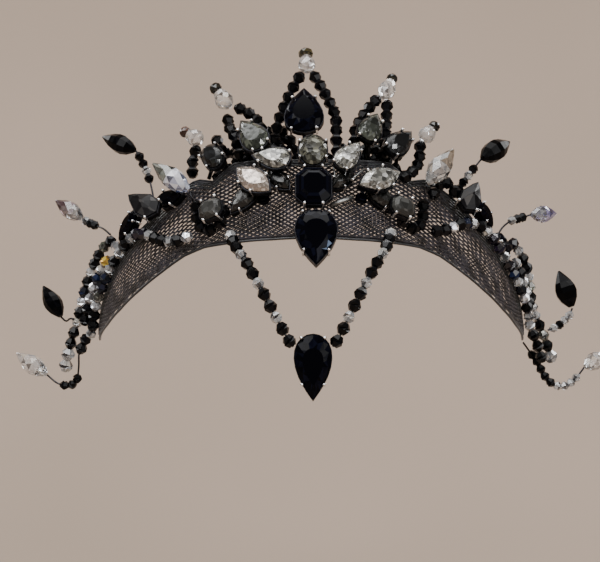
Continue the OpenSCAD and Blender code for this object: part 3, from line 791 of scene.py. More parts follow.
@dataclass
class BeadString:
    """The strings of one node; a pattern of one letter fills its string, and jet does where there is none."""

    node: str
    paths: list[Points]
    patterns: Sequence[str] = ()
    thread_radius: float = 0.35
    thread_step: float = 1.5

    def build(self) -> None:
        """Thread the beads of each path and close off one piece for each finish."""
        thread = bmesh.new()
        placed: list[tuple[Bead, Matrix]] = []
        spins = random.Random(self.node)
        for points, pattern in zip(self.paths, self.patterns or Bead.JET.letter * len(self.paths)):
            path = StringPath(points)
            tube(thread, path.spaced(self.thread_step), self.thread_radius, 6)
            row = [BEAD_OF[letter] for letter in pattern]
            if len(row) == 1:
                row *= max(1, round(path.total / row[0].length - 0.2))
            spread = path.total / sum(bead.length for bead in row)
            place = 0.0
            for bead in row:
                half = bead.length * spread / 2
                placed.append((bead, path.frame(place + half, spins.uniform(0, 60))))
                place += 2 * half
        close_piece(thread, f"{self.node}_thread", Look.BINDING, [self.node], slot=JET_BEADS)
        close_beads(self.node, placed, lambda bead: bead.look, seed=len(self.node))


class Cut(Enum):
    """Outlines of the stones: the number of their points, and the points that the claws hold."""

    PEAR = (24, (4, 10, 14, 20))
    NAVETTE = (24, (4, 8, 16, 20))
    OVAL = (24, (2, 10, 14, 22))
    SQUARE = (8, (1, 2, 5, 6))
    PETAL = (8, (3, 5))

    def __init__(self, count: int, held: tuple[int, ...]) -> None:
        """Keep the outline's facts."""
        self.count, self.held = count, held


@dataclass(frozen=True)
class CutShape:
    """A cut stone's heights over the back of its cup, its outline and its table's share of that."""

    cut: Cut
    width: float
    length: float
    base: float = 1.0
    back: float = 1.2
    girdle: float = 0.5
    crown: float = 1.6
    table: float = 0.58
    point: float = 0.12

    def outline(self, grown: float = 0.0) -> Points:
        """Return the outline, let out by a width all round.

        Args:
            grown: How far each point is moved out from the middle.

        Returns:
            The points, all level.
        """
        x, y = self.width / 2, self.length / 2
        places: list[tuple[float, float]] = []
        for i in range(self.cut.count):
            a = math.tau * i / self.cut.count
            if self.cut in (Cut.PEAR, Cut.PETAL):
                places.append((-self.width / 1.54 * math.sin(a) * math.sin(a / 2), y * math.cos(a)))
            elif self.cut is Cut.OVAL:
                places.append((x * math.cos(a), y * math.sin(a)))
            else:
                s = 1 - i / 6 if i < 12 else (i - 12) / 6 - 1
                places.append(((-1 if i < 12 else 1) * x * (1 - s * s), y * s))
        if self.cut is Cut.SQUARE:
            c = 0.25 * min(self.width, self.length)
            half = [(x, y - c), (x - c, y), (c - x, y), (-x, y - c)]
            places = [*half, *[(-a, -b) for a, b in half]]
        points = [Vector((a, b, 0.0)) for a, b in places]
        return [p + grown * p.normalized() for p in points]

    @property
    def girdle_top(self) -> float:
        """Height of the girdle's upper edge."""
        return self.base + self.back + self.girdle

    def levels(self) -> list[tuple[tuple[float, float], tuple[float, float]]]:
        """Stack the stone's rings, from its back to its table.

        Returns:
            For each ring, the share of the outline and the height of its even points, then of its odd ones.
        """
        high, crown = self.girdle_top, self.crown
        steps = [(0.5, self.base), (1.0, self.base + self.back), (1.0, high)]
        if self.cut is Cut.SQUARE:
            steps += [(0.86, high + 0.42 * crown), (0.72, high + 0.76 * crown)]
        rings = [(step, step) for step in steps]
        if self.cut not in (Cut.SQUARE, Cut.PETAL):
            rings.append(((0.9, high + 0.3 * crown), (0.75, high + 0.68 * crown)))
        last = (self.point if self.cut is Cut.PETAL else self.table, high + crown)
        return [*rings, (last, last)]


def add_stone(
    bm: bmesh.types.BMesh, shape: CutShape, seat: Matrix, lift: float = 0.0, bright: Sequence[Vector] = ()
) -> None:
    """Cut one stone into a mesh.

    Args:
        bm: The mesh to add to.
        shape: The stone.
        seat: The frame of its cup's back.
        lift: Height over the shape's own base.
        bright: Places on the crown whose nearest facet is painted as a glint, in the cup's frame.
    """
    painted_glint = bm.faces.layers.int.get("painted_glint") or bm.faces.layers.int.new("painted_glint")
    rings = []
    for ring in shape.levels():
        scaled = [(p, *ring[i % 2]) for i, p in enumerate(shape.outline())]
        rings.append([seat @ Vector((p.x * share, p.y * share, height + lift)) for p, share, height in scaled])
    faces = loft(bm, rings)
    quads = [f for f in faces if len(f.verts) == 4 and shape.cut not in (Cut.SQUARE, Cut.PETAL)]
    made = bmesh.ops.triangulate(bm, faces=quads)["faces"]
    crown = [f for f in {*faces, *made} if f.is_valid and len(f.verts) <= 4]
    # Painted glints: the crown facet nearest each bright place is marked to take the full painted tone
    for place in bright:
        target = seat @ (place + Vector((0, 0, shape.girdle_top + 0.5 * shape.crown)))
        min(crown, key=lambda f: (f.calc_center_median() - target).length)[painted_glint] = 1


def add_cup(bm: bmesh.types.BMesh, shape: CutShape, seat: Matrix) -> None:
    """Raise a cup's plate, its wall up to the girdle and its rolled lip.

    Args:
        bm: The mesh to add to.
        shape: The stone that it holds.
        seat: The frame of its back.
    """
    lip = shape.base + shape.back
    # Width past the stone and height: up the outside, over the lip and down the inside
    outside = [(0.3, 0.0), (0.45, 0.25), (0.42, lip - 0.5), (0.5, lip - 0.2), (0.46, lip)]
    inside = [(0.2, lip), (0.12, lip - 0.4), (-0.2, 0.7)]
    loft(bm, [[seat @ Vector((p.x, p.y, z)) for p in shape.outline(grown)] for grown, z in outside + inside])


CLAW_R = 0.45
CLAW_BALL_R = 0.58
CLAW_GAP = 0.2


def add_claws(bm: bmesh.types.BMesh, shape: CutShape, seat: Matrix) -> None:
    """Bend the claws up the cup and over the girdle, each with a rounded tip.

    Args:
        bm: The mesh to add to.
        shape: The stone that they hold.
        seat: The frame of the cup's back.
    """
    points, top = shape.outline(), shape.girdle_top
    # Distance out from the claw's foot and height, up the cup and over the girdle
    bend = ((0.0, 0.1), (0.0, top + 0.2), (-0.15, top + 0.5), (-0.4, top + 0.75))
    for p in (points[i] for i in shape.cut.held):
        out = p.normalized()
        foot = p + (CLAW_GAP + CLAW_R) * out
        path = [seat @ (foot + off * out + Vector((0, 0, z))) for off, z in bend]
        tube(bm, path, [CLAW_R * taper for taper in (1.0, 0.9, 1.0, 0.7)])
        ball = seat @ Matrix.Translation(foot - CLAW_GAP * out + Vector((0, 0, top + 0.6)))
        made = bmesh.ops.create_uvsphere(bm, u_segments=8, v_segments=6, radius=CLAW_BALL_R, matrix=ball)
        for face in {f for v in made["verts"] for f in v.link_faces}:
            face.smooth = True


@dataclass(frozen=True)
class SetStone:
    """A stone in its claw setting: its place, its size, its carrying wire's end and its facets painted as
    glints.

    The wire ends at wire_to, in degrees, height and standoff, and it starts wire_off degrees beside the cup.
    """

    node: str
    look: Look
    cut: Cut
    t: float
    u: float
    o: float
    roll: float
    width: float
    length: float
    wire_to: tuple[float, float, float] | None = None
    wire_off: float = 0.0
    turn: float = 0.0
    # Crown places whose facets are painted as glints
    bright: tuple[tuple[float, float], ...] = ()

    @property
    def shape(self) -> CutShape:
        """The stone's cut."""
        return CutShape(self.cut, self.width, self.length)

    @property
    def seat(self) -> Matrix:
        """The frame of its cup's back."""
        return BAND.seat(self.t, self.u, self.o, self.roll, self.turn)


def over_edge(t: float, up: float = 0.4) -> float:
    """Return a height just over the net's upper edge at t degrees."""
    return BAND.net_top(t) + up


STONES_CENTRE = [
    SetStone("kite_stone", Look.JET_STONE, Cut.PEAR, 0.8, -4.4, HIGH_O, 180, 13.2, 20, (0.8, 3, SHANK_O),
        bright=((-2.6, 5.2), (-3.6, 2.6))),
    SetStone("centre_stone", Look.JET_STONE, Cut.SQUARE, 0.3, 15.1, HIGH_O, 0, 11.2, 13.6, (0.3, 15.1, LOW_O)),
    SetStone("crest_stone", Look.FOILED_SMOKE, Cut.OVAL, 0.2, 29.2, HIGH_O, 0, 9.2, 11.8, (0.2, 26, SHANK_O)),
    SetStone("peak_stone", Look.JET_STONE, Cut.PEAR, -1.8, 45.4, HIGH_O, 0, 12.6, 17.4,
        (-1.8, over_edge(0, 0.8), SHANK_O + 0.2)),
    SetStone("clear_pear_left", Look.FOILED_DULL, Cut.PEAR, -9.2, 27.2, HIGH_O, 76, 8, 12.8,
        (-9.2, 27.2, LOW_O)),
    SetStone("clear_pear_right", Look.FOILED_CLEAR, Cut.PEAR, 8.3, 28, HIGH_O, -34, 7.6, 12.4,
        (8.3, 28, LOW_O)),
]
STONES_LEFT = [
    SetStone("smoke_navette_left", Look.DEEP_SMOKE, Cut.NAVETTE, -7.9, 21, LOW_O, 42, 5, 10),
    SetStone("smoke_pear_left", Look.DEEP_SMOKE, Cut.PEAR, -17, 15.1, LOW_O, 138, 7, 11),
    SetStone("clear_navette_left", Look.FOILED_CREAM, Cut.NAVETTE, -13.2, 19.3, HIGH_O, 46, 8, 15.6,
        (-13.2, 19.3, LOW_O)),
    SetStone("cushion_stone_left", Look.GREY_STONE, Cut.SQUARE, -23.3, 11.1, HIGH_O, 8, 8, 7,
        (-25, 11.6, SHANK_O), -1.2),
    SetStone("loop_pear_left", Look.MOSS_STONE, Cut.PEAR, -13.8, 37.6, HIGH_O, 32, 9, 14,
        (-15.9, over_edge(16), SHANK_O), -1.8),
    SetStone("outer_stone_left", Look.BLACK_DIAMOND, Cut.OVAL, -23.2, 32, HIGH_O, 30, 7, 10.4,
        (-26.6, over_edge(26.6), SHANK_O)),
    SetStone("petal_stone_left", Look.PETAL_STONE, Cut.PETAL, -42.8, 23, 7.2, 50, 8.4, 14,
        (-45.8, 23.4, SHANK_O), turn=25, bright=((-2.4, 3.2),)),
    SetStone("rim_leaves_left", Look.JET_STONE, Cut.NAVETTE, -53.2, 24.8, LOW_O, -58, 6, 14.5),
    SetStone("rim_leaves_left", Look.JET_STONE, Cut.NAVETTE, -38, 25.4, LOW_O, 80, 6, 12.6),
]
STONES_RIGHT = [
    SetStone("smoke_navette_right", Look.DEEP_SMOKE, Cut.NAVETTE, 7.3, 21.2, LOW_O, -42, 5, 10),
    SetStone("smoke_pear_right", Look.DEEP_SMOKE, Cut.PEAR, 17.2, 15.9, LOW_O, -138, 7, 11),
    SetStone("clear_navette_right", Look.FOILED_CLEAR, Cut.NAVETTE, 15.2, 20.1, HIGH_O, -62, 8, 16,
        (13, 22.4, SHANK_O), -1.4),
    SetStone("cushion_stone_right", Look.GREY_STONE, Cut.SQUARE, 20.6, 11, HIGH_O, -8, 8, 7,
        (24.4, 12.4, SHANK_O), 2),
    SetStone("loop_pear_right", Look.MOSS_STONE, Cut.PEAR, 13.6, 40.4, HIGH_O, -20, 8.2, 11.8,
        (14, over_edge(14), SHANK_O)),
    SetStone("outer_stone_right", Look.BLACK_DIAMOND, Cut.PEAR, 20.5, 36.8, HIGH_O, -39, 7.8, 13,
        (21.4, over_edge(21.4), SHANK_O)),
    SetStone("petal_stone_right", Look.PETAL_STONE, Cut.PETAL, 41, 25.6, HIGH_O, -24, 7.4, 13,
        (41, 25.6, LOW_O), turn=-25, bright=((-2, -1.5),)),
    SetStone("rim_leaves_right", Look.JET_STONE, Cut.NAVETTE, 48.6, 26.3, LOW_O, 58, 5.6, 12),
    SetStone("rim_leaves_right", Look.JET_STONE, Cut.NAVETTE, 66, 24.5, -3.6, 20, 6, 12),
]


@dataclass
class Settings:
    """A group of stones with its cups, claws, carrying wires, a tie apart and dull bars with their radii."""

    node: str
    stones: list[SetStone]
    ties: list[tuple[Vector, Vector]] = field(default_factory=list)
    bars: list[tuple[Vector, Vector, float]] = field(default_factory=list)
    wire_radius: float = 0.7
    wire_depth: float = 0.3

    def build(self) -> None:
        """Build the stones, the cups and the claws."""
        cups, claws = bmesh.new(), bmesh.new()
        wires: list[tuple[Vector, Vector]] = []
        by_node: dict[str, list[SetStone]] = {}
        for stone in self.stones:
            by_node.setdefault(stone.node, []).append(stone)
            add_cup(cups, stone.shape, stone.seat)
            add_claws(claws, stone.shape, stone.seat)
            if stone.wire_to:
                start = wall(stone.t + stone.wire_off, stone.u, stone.o + self.wire_depth)
                wires.append((start, wall(*stone.wire_to)))
        for start, end in wires + self.ties:
            tube(cups, [start, start.lerp(end, 0.5), end], self.wire_radius, 10)
        if self.bars:
            bars = bmesh.new()
            for start, end, radius in self.bars:
                tube(bars, [start, start.lerp(end, 0.5), end], radius)
            close_piece(bars, f"{self.node}_bars", Look.BAR, [self.node])
        close_piece(cups, f"{self.node}_cups", Look.CUP, [self.node])
        close_piece(claws, f"{self.node}_claws", Look.CLAW, [self.node])
        for node, group in by_node.items():
            bm = bmesh.new()
            for stone in group:
                add_stone(bm, stone.shape, stone.seat, bright=[Vector((x, y, 0)) for x, y in stone.bright])
            close_piece(bm, f"{node}_cut", group[0].look, [node], seed=len(node) + ord(node[-1]))


@dataclass
class Pendant:
    """The black pear at the foot of the two drop strands, in its setting."""

    place: tuple[float, float, float] = (0.1, -77.4, -6.4)
    lean: float = 6.0
    width: float = 11.4
    length: float = 20.4

    def build(self) -> None:
        """Build the stone, its cup and its claws."""
        shape = CutShape(Cut.PEAR, self.width, self.length)
        upright = Matrix.Rotation(math.radians(90 - self.lean), 4, "X")
        seat = Matrix.Translation(self.place) @ upright @ Matrix.Rotation(math.pi, 4, "Z")
        cup, claws, stone = bmesh.new(), bmesh.new(), bmesh.new()
        add_cup(cup, shape, seat)
        add_claws(claws, shape, seat)
        add_stone(stone, shape, seat)
        close_piece(cup, "pendant_cup", Look.CUP, ["pendant_setting"])
        close_piece(claws, "pendant_claws", Look.CLAW, ["pendant_setting"])
        close_piece(stone, "pendant_cut", Look.JET_STONE, ["pendant_stone"], seed=5)


@dataclass
class SquareBeads:
    """The two square black beads beside the centre: degrees, height and roll of each."""

    places: tuple[tuple[float, float, float], ...] = ((-11.7, 14.7, 10), (11.8, 14.9, -10))
    size: float = 4.0

    def build(self) -> None:
        """Build both beads, down where a stone's cup would be."""
        bm = bmesh.new()
        shape = CutShape(Cut.SQUARE, self.size, self.size)
        for t, u, roll in self.places:
            add_stone(bm, shape, BAND.seat(t, u, LOW_O, roll), lift=-shape.base)
        close_piece(bm, "square_beads_cut", Look.JET_STONE, ["square_beads"])


@dataclass(frozen=True)
class DropStyle:
    """The glass of a drop and of its tip, where the tip starts, and a round cap's share of the width.

    Without a cap's share the tip carries the body's taper on, and without a tip the drop is of one glass.
    """

    look: Look = Look.CLEAR_DROP
    tip_look: Look | None = Look.DARK_TIP
    tip_from: float = 0.66
    cap_share: float | None = 0.66


BLACK_DROP = DropStyle(Look.JET_DROP, None)
PLAIN_DROP = DropStyle(Look.CLEAR_DROP, None)
# Shares of a drop's length and of its width, from its foot
WHOLE_DROP = [
    (0.0, 0.28), (0.08, 0.5), (0.2, 0.8), (0.38, 1.0), (0.52, 0.98), (0.68, 0.78), (0.88, 0.38), (1.0, 0.1),
]
CAPPED_BODY = [(0.0, 0.34), (0.14, 0.72), (0.34, 1.0), (0.55, 1.0), (0.78, 0.82), (1.0, 0.58)]
ROUND_CAP = [(0.0, 0.7), (0.25, 1.0), (0.6, 1.0), (0.86, 0.7), (1.0, 0.2)]


@dataclass
class Drop:
    """A faceted drop bead that points from its foot to its aim."""

    node: str
    foot: Vector
    aim: Vector
    length: float
    width: float
    style: DropStyle = DropStyle()
    sides: int = 8

    def build(self) -> None:
        """Build the drop, and where it has one its tip."""
        style, body, tip = self.style, WHOLE_DROP, []
        if style.tip_look and style.cap_share:
            body = [(k * style.tip_from, w) for k, w in CAPPED_BODY]
            tip = [(style.tip_from + k * (1 - style.tip_from), w * style.cap_share) for k, w in ROUND_CAP]
        elif style.tip_look:
            body = [p for p in WHOLE_DROP if p[0] <= style.tip_from]
            tip = [body[-1], *[p for p in WHOLE_DROP if p[0] > style.tip_from]]
        self._part("cut", body, style.look)
        if style.tip_look:
            self._part("tip", tip, style.tip_look)

    def _part(self, part: str, profile: list[tuple[float, float]], look: Look) -> None:
        """Build one stretch of the drop; but for black ones, each ring is half a facet round from the last.

        Args:
            part: What the piece's name ends with.
            profile: Shares of the drop's length and width, from its foot.
            look: The finish.
        """
        frame = (self.aim - self.foot).normalized().to_track_quat("Z", "Y").to_matrix().to_4x4()
        frame.translation = self.foot
        rings = []
        for j, (share, width) in enumerate(profile):
            half_step = 0.5 * (j % 2) if look is not Look.JET_DROP else 0.0
            angles = [math.tau * (i + half_step) / self.sides for i in range(self.sides)]
            r, z = width * self.width / 2, share * self.length
            rings.append([frame @ Vector((r * math.cos(a), r * math.sin(a), z)) for a in angles])
        bm = bmesh.new()
        faces = loft(bm, rings)
        bmesh.ops.triangulate(bm, faces=[f for f in faces if len(f.verts) == 4])
        close_piece(bm, f"{self.node}_{part}", look, [self.node], seed=len(self.node) + int(self.length * 10))


@dataclass
class NetBand:
    """The stretched net: two layers of diagonal lattice, pulled longer and thinner towards its ends.

    Each layer has its standoff, its cells along the band and their height.
    """

    layers: tuple[tuple[float, int, float], ...] = ((0.42, 60, 1.5), (-0.42, 56, 1.62))
    thread: float = 0.72
    thinning: float = 0.42
    inset: float = 1.0
    pull: float = 0.42
    slack_t: float = 0.1
    slack_u: float = 0.08
    ripple: float = 0.12
    middle: float = 8.0
    seed: int = 4

    def build(self) -> None:
        turns = [BAND.end * k / 90 for k in range(-90, 91)]
        run = [wall(t, self.middle, 0) for t in turns]
        length = sum((b - a).length for a, b in zip(run, run[1:]))
        heights = [BAND.net_top(t) - BAND.net_low(t) - 2 * self.inset for t in turns]
        whole = bmesh.new()
        for o, columns, row in self.layers:
            self._layer(whole, o, columns, math.ceil(max(heights) / row), row)
        net = close_piece(whole, "net_lattice", Look.NET, ["net_band"])
        wires = net.modifiers.new("threads", "WIREFRAME")
        wires.thickness = self.thread * METRES_PER_MM
        share = net.vertex_groups.new(name="thread_share")
        for vert in net.data.vertices:
            side = vert.co.x / (BAND.half_w * METRES_PER_MM)
            share.add([vert.index], 1 - self.thinning * side**2, "REPLACE")
        wires.vertex_group = share.name
        wires.use_even_offset = False
        wires.use_boundary = True
        wires.use_replace = True

    def _layer(self, whole: bmesh.types.BMesh, o: float, columns: int, rows: int, row: float) -> None:
        """Knit one layer: a grid, poked and with its square edges dissolved, laid on the band.

        Args:
            whole: The mesh to add to.
            o: The layer's standoff.
            columns: Cells along the band.
            rows: Cells up the band where it is highest.
            row: A cell's height.
        """
        slack = random.Random(self.seed + columns)
        bm = bmesh.new()
        bmesh.ops.create_grid(bm, x_segments=columns, y_segments=rows, size=0.5)
        square = list(bm.edges)
        bmesh.ops.poke(bm, faces=bm.faces[:])
        inner = [e for e in square if e.is_valid and not e.is_boundary]
        bmesh.ops.dissolve_edges(bm, edges=inner, use_verts=False)
        past = set()
        for vert in bm.verts:
            off_t = off_u = 0.0
            if abs(vert.co.x) < 0.499 and abs(vert.co.y) < 0.499:
                off_t = slack.uniform(-self.slack_t, self.slack_t)
                off_u = slack.uniform(-self.slack_u, self.slack_u)
            t = BAND.end * 2 * vert.co.x * (1 - self.pull + self.pull * 4 * vert.co.x**2) + off_t
            high = BAND.net_top(t) - self.inset
            u = BAND.net_low(t) + self.inset + (vert.co.y + 0.5) * rows * row + off_u
            if u >= high:
                past.add(vert)
            vert.co = wall(t, min(u, high), o + self.ripple * math.sin(0.9 * t + 0.5 * u))
        bmesh.ops.delete(bm, geom=[f for f in bm.faces if all(v in past for v in f.verts)], context="FACES")
        part = bpy.data.meshes.new("layer")
        bm.to_mesh(part)
        bm.free()
        whole.from_mesh(part)
        bpy.data.meshes.remove(part)


@dataclass
class EdgeWire:
    """The wire round the net, bound in black net, and the pleats under its upper edge."""

    radius: float = 0.45
    pleats: tuple[float, ...] = (1.3, 2.4)
    side_pleats: tuple[float, ...] = (3.5, 4.7, 6.0)
    side_from: float = 36.0
    pleat_radius: float = 0.3
    pleat_o: float = 0.4

    def build(self) -> None:
        """Build the bound wire and the pleats that run along the net's upper edge."""
        turns = [BAND.end * k / 42 for k in range(-42, 43)]
        low = [wall(t, BAND.net_low(t), 0) for t in [-90.0, *turns, 90.0]]
        high = [wall(t, BAND.net_top(t), 0) for t in [90.0, *reversed(turns), -90.0]]
        bm = bmesh.new()
        tube(bm, [*low, *high, low[0]], self.radius, 10)
        close_piece(bm, "edge_wire", Look.BINDING, ["frame_wire"])
        pleats = bmesh.new()
        sides = [[t for t in turns if t <= -self.side_from], [t for t in turns if t >= self.side_from]]
        for drop in [*self.pleats, *self.side_pleats]:
            for span in [turns] if drop in self.pleats else sides:
                tube(pleats, [self._under(t, drop) for t in span], self.pleat_radius, 6)
        close_piece(pleats, "net_pleats", Look.PLEAT)

    def _under(self, t: float, drop: float) -> Vector:
        """Return a pleat's point under the upper edge, drawn in where the band is low.

        Args:
            t: Degrees round the band.
            drop: How far the pleat lies under the edge at the front.

        Returns:
            The point.
        """
        high, low = BAND.net_top(t), BAND.net_low(t)
        near = min(drop + 0.3 * math.sin(0.2 * t), 0.08 * drop * (high - low - 2))
        return wall(t, high - near, self.pleat_o)


def laid(*rows: tuple[float, ...]) -> Points:
    """Return the points of a string or wire.

    Args:
        rows: For each point (degrees) on the net's upper edge, (degrees, height) on the band, or (x, y, z).

    Returns:
        The points.
    """
    ways = {1: BAND.foot, 2: lambda t, u: wall(t, u, STRING_O), 3: lambda x, y, z: Vector((x, y, z))}
    return [ways[len(row)](*row) for row in rows]


def behind(*rows: tuple[float, float]) -> Points:
    """Return a string's points behind the net's upper edge, from degrees and heights over that edge."""
    return [wall(t, BAND.net_top(t) + up, BACK_ROW_O) for t, up in rows]


@dataclass
class Stem:
    """A wire with small beads after a bare lead, and a drop at its end."""

    node: str
    path: Points
    lead: float
    beads: str
    aim: Vector
    length: float
    width: float
    style: DropStyle = DropStyle()

    @property
    def drop(self) -> Drop:
        """The drop, whose foot stands just off the wire's end."""
        foot = self.path[-1] + (0.6 if self.beads else 0.5) * (self.aim - self.path[-1]).normalized()
        return Drop(self.node, foot, self.aim, self.length, self.width, self.style)


@dataclass
class Stems:
    """All the stems of one side."""

    node: str
    stems: list[Stem]
    wire_radius: float = 0.35
    wire_step: float = 1.2
    bead_step: float = 3.1
    spin_per_mm: float = 17.0

    def build(self) -> None:
        """Build the wires, the small beads and the drops."""
        wires = bmesh.new()
        placed: list[tuple[Bead, Matrix]] = []
        for stem in self.stems:
            path = StringPath(stem.path)
            tube(wires, path.spaced(self.wire_step), self.wire_radius)
            place = stem.lead
            for letter in stem.beads:
                spin = place * self.spin_per_mm
                placed.append((BEAD_OF[letter], path.frame(place + self.bead_step / 2, spin)))
                place += self.bead_step
            stem.drop.build()
        close_piece(wires, f"{self.node}_wires", Look.WIRE, [self.node])
        close_beads(self.node, placed, lambda bead: bead)


def stems_left() -> list[Stem]:
    """Return the stems on the wearer's right, the picture's left.

    Returns:
        The stems, from the crown down to the band's end.
    """
    return [
        Stem("finial_left_3",
            [wall(-31, 19.6, LOW_O), *laid((-40.4, -43.4, 49.4), (-41.2, -40.6, 51.2))], 9, "",
            Vector((-56, -36.4, 62.4)), 15.8, 7.4, DropStyle(Look.AURORA_DROP, Look.MOSS_DROP, 0.52, None)),
        Stem("finial_left_4",
            [wall(-45, 26.2, 0.6), wall(-45, 32.6, 1.8), wall(-45.4, 40, 4), wall(-46.4, 46, 6.4),
                wall(-46.8, 48.6, 8)],
            10.6, "bsbb", wall(-55, 58.6, 16), 15.4, 6.8, BLACK_DROP),
        Stem("finial_left_5",
            laid((-71, -11.9, 37.4), (-74, -7.6, 39.6), (-77, -3.4, 40.8), (-80.4, 1, 42.2),
                (-82.4, 3.4, 43.4)),
            10.4, "bbs", Vector((-93.2, 7.4, 50.5)), 12.6, 6.4,
            DropStyle(Look.CLEAR_DROP, Look.WINE_DROP, 0.45, None)),
        Stem("finial_left_6", laid((-85.6, 2.6, 7.2), (-87.2, 3.2, 7.4), (-89, 6, 6.4), (-91, 8, 7.8)), 9, "",
            Vector((-99.2, 14, 20.4)), 14, 6.8, BLACK_DROP),
        Stem("finial_left_7",
            laid((-84.15, 4.15, -5.55), (-84.4, 5.4, -11), (-85.4, 6, -15.6), (-88.8, 7, -17),
                (-92.6, 8.4, -16.2), (-96.4, 10, -13.4)),
            7.6, "bbb", Vector((-111.4, 16.5, -3.8)), 14.6, 7, PLAIN_DROP),
    ]


def stems_right() -> list[Stem]:
    """Return the stems on the wearer's left, the picture's right.

    Returns:
        The stems, from the crown down to the band's end.
    """
    return [
        Stem("finial_right_3",
            [wall(29.8, 24, SHANK_O), *laid((38.2, -45.6, 52.4), (38.6, -44.4, 53.2))], 9, "",
            Vector((48.2, -39.6, 66)), 15.4, 7.8, DropStyle(Look.CLEAR_DROP, Look.BROWN_DROP, 0.6, None)),
        Stem("finial_right_4",
            [wall(40.6, 28.1, 0.7), wall(40.8, 32, 2), wall(42, 36.4, 4.6), wall(43.6, 41.2, 7),
                wall(44.4, 43.4, 8)],
            1.8, "bbsb", wall(54.2, 58, 15), 15.4, 7.8, BLACK_DROP),
        Stem("finial_right_5",
            [wall(57, 21.5, 0.8), *laid((66.6, -17.4, 39.4), (70, -14.4, 42), (74.4, -10, 43.4),
                (78.2, -5.8, 44.6))],
            9.4, "sbb", Vector((88.6, 1.6, 45.4)), 12, 6.2,
            DropStyle(Look.CLEAR_DROP, Look.VIOLET_DROP, 0.5, None)),
        Stem("finial_right_6",
            laid((85.9, 4.3, 3.2), (89.4, 6.6, 4.4), (92, 8.6, 6.2), (94.6, 10.6, 8.4), (95.8, 11.6, 11)),
            1.2, "sbss", Vector((91.3, 14, 24.3)), 14, 8.2, BLACK_DROP),
        Stem("finial_right_7",
            laid((76.4, 0.2, -1.2), (79.6, 3.6, -5.2), (82.4, 4.8, -9), (84.6, 5.2, -13.2),
                (88.2, 5.8, -16.6), (92.6, 7.6, -17.2), (96.6, 10, -14.8), (100.4, 13, -10.8)),
            5.4, "bbbbbssss", Vector((112, 20, -4.6)), 11, 6.6, PLAIN_DROP),
    ]


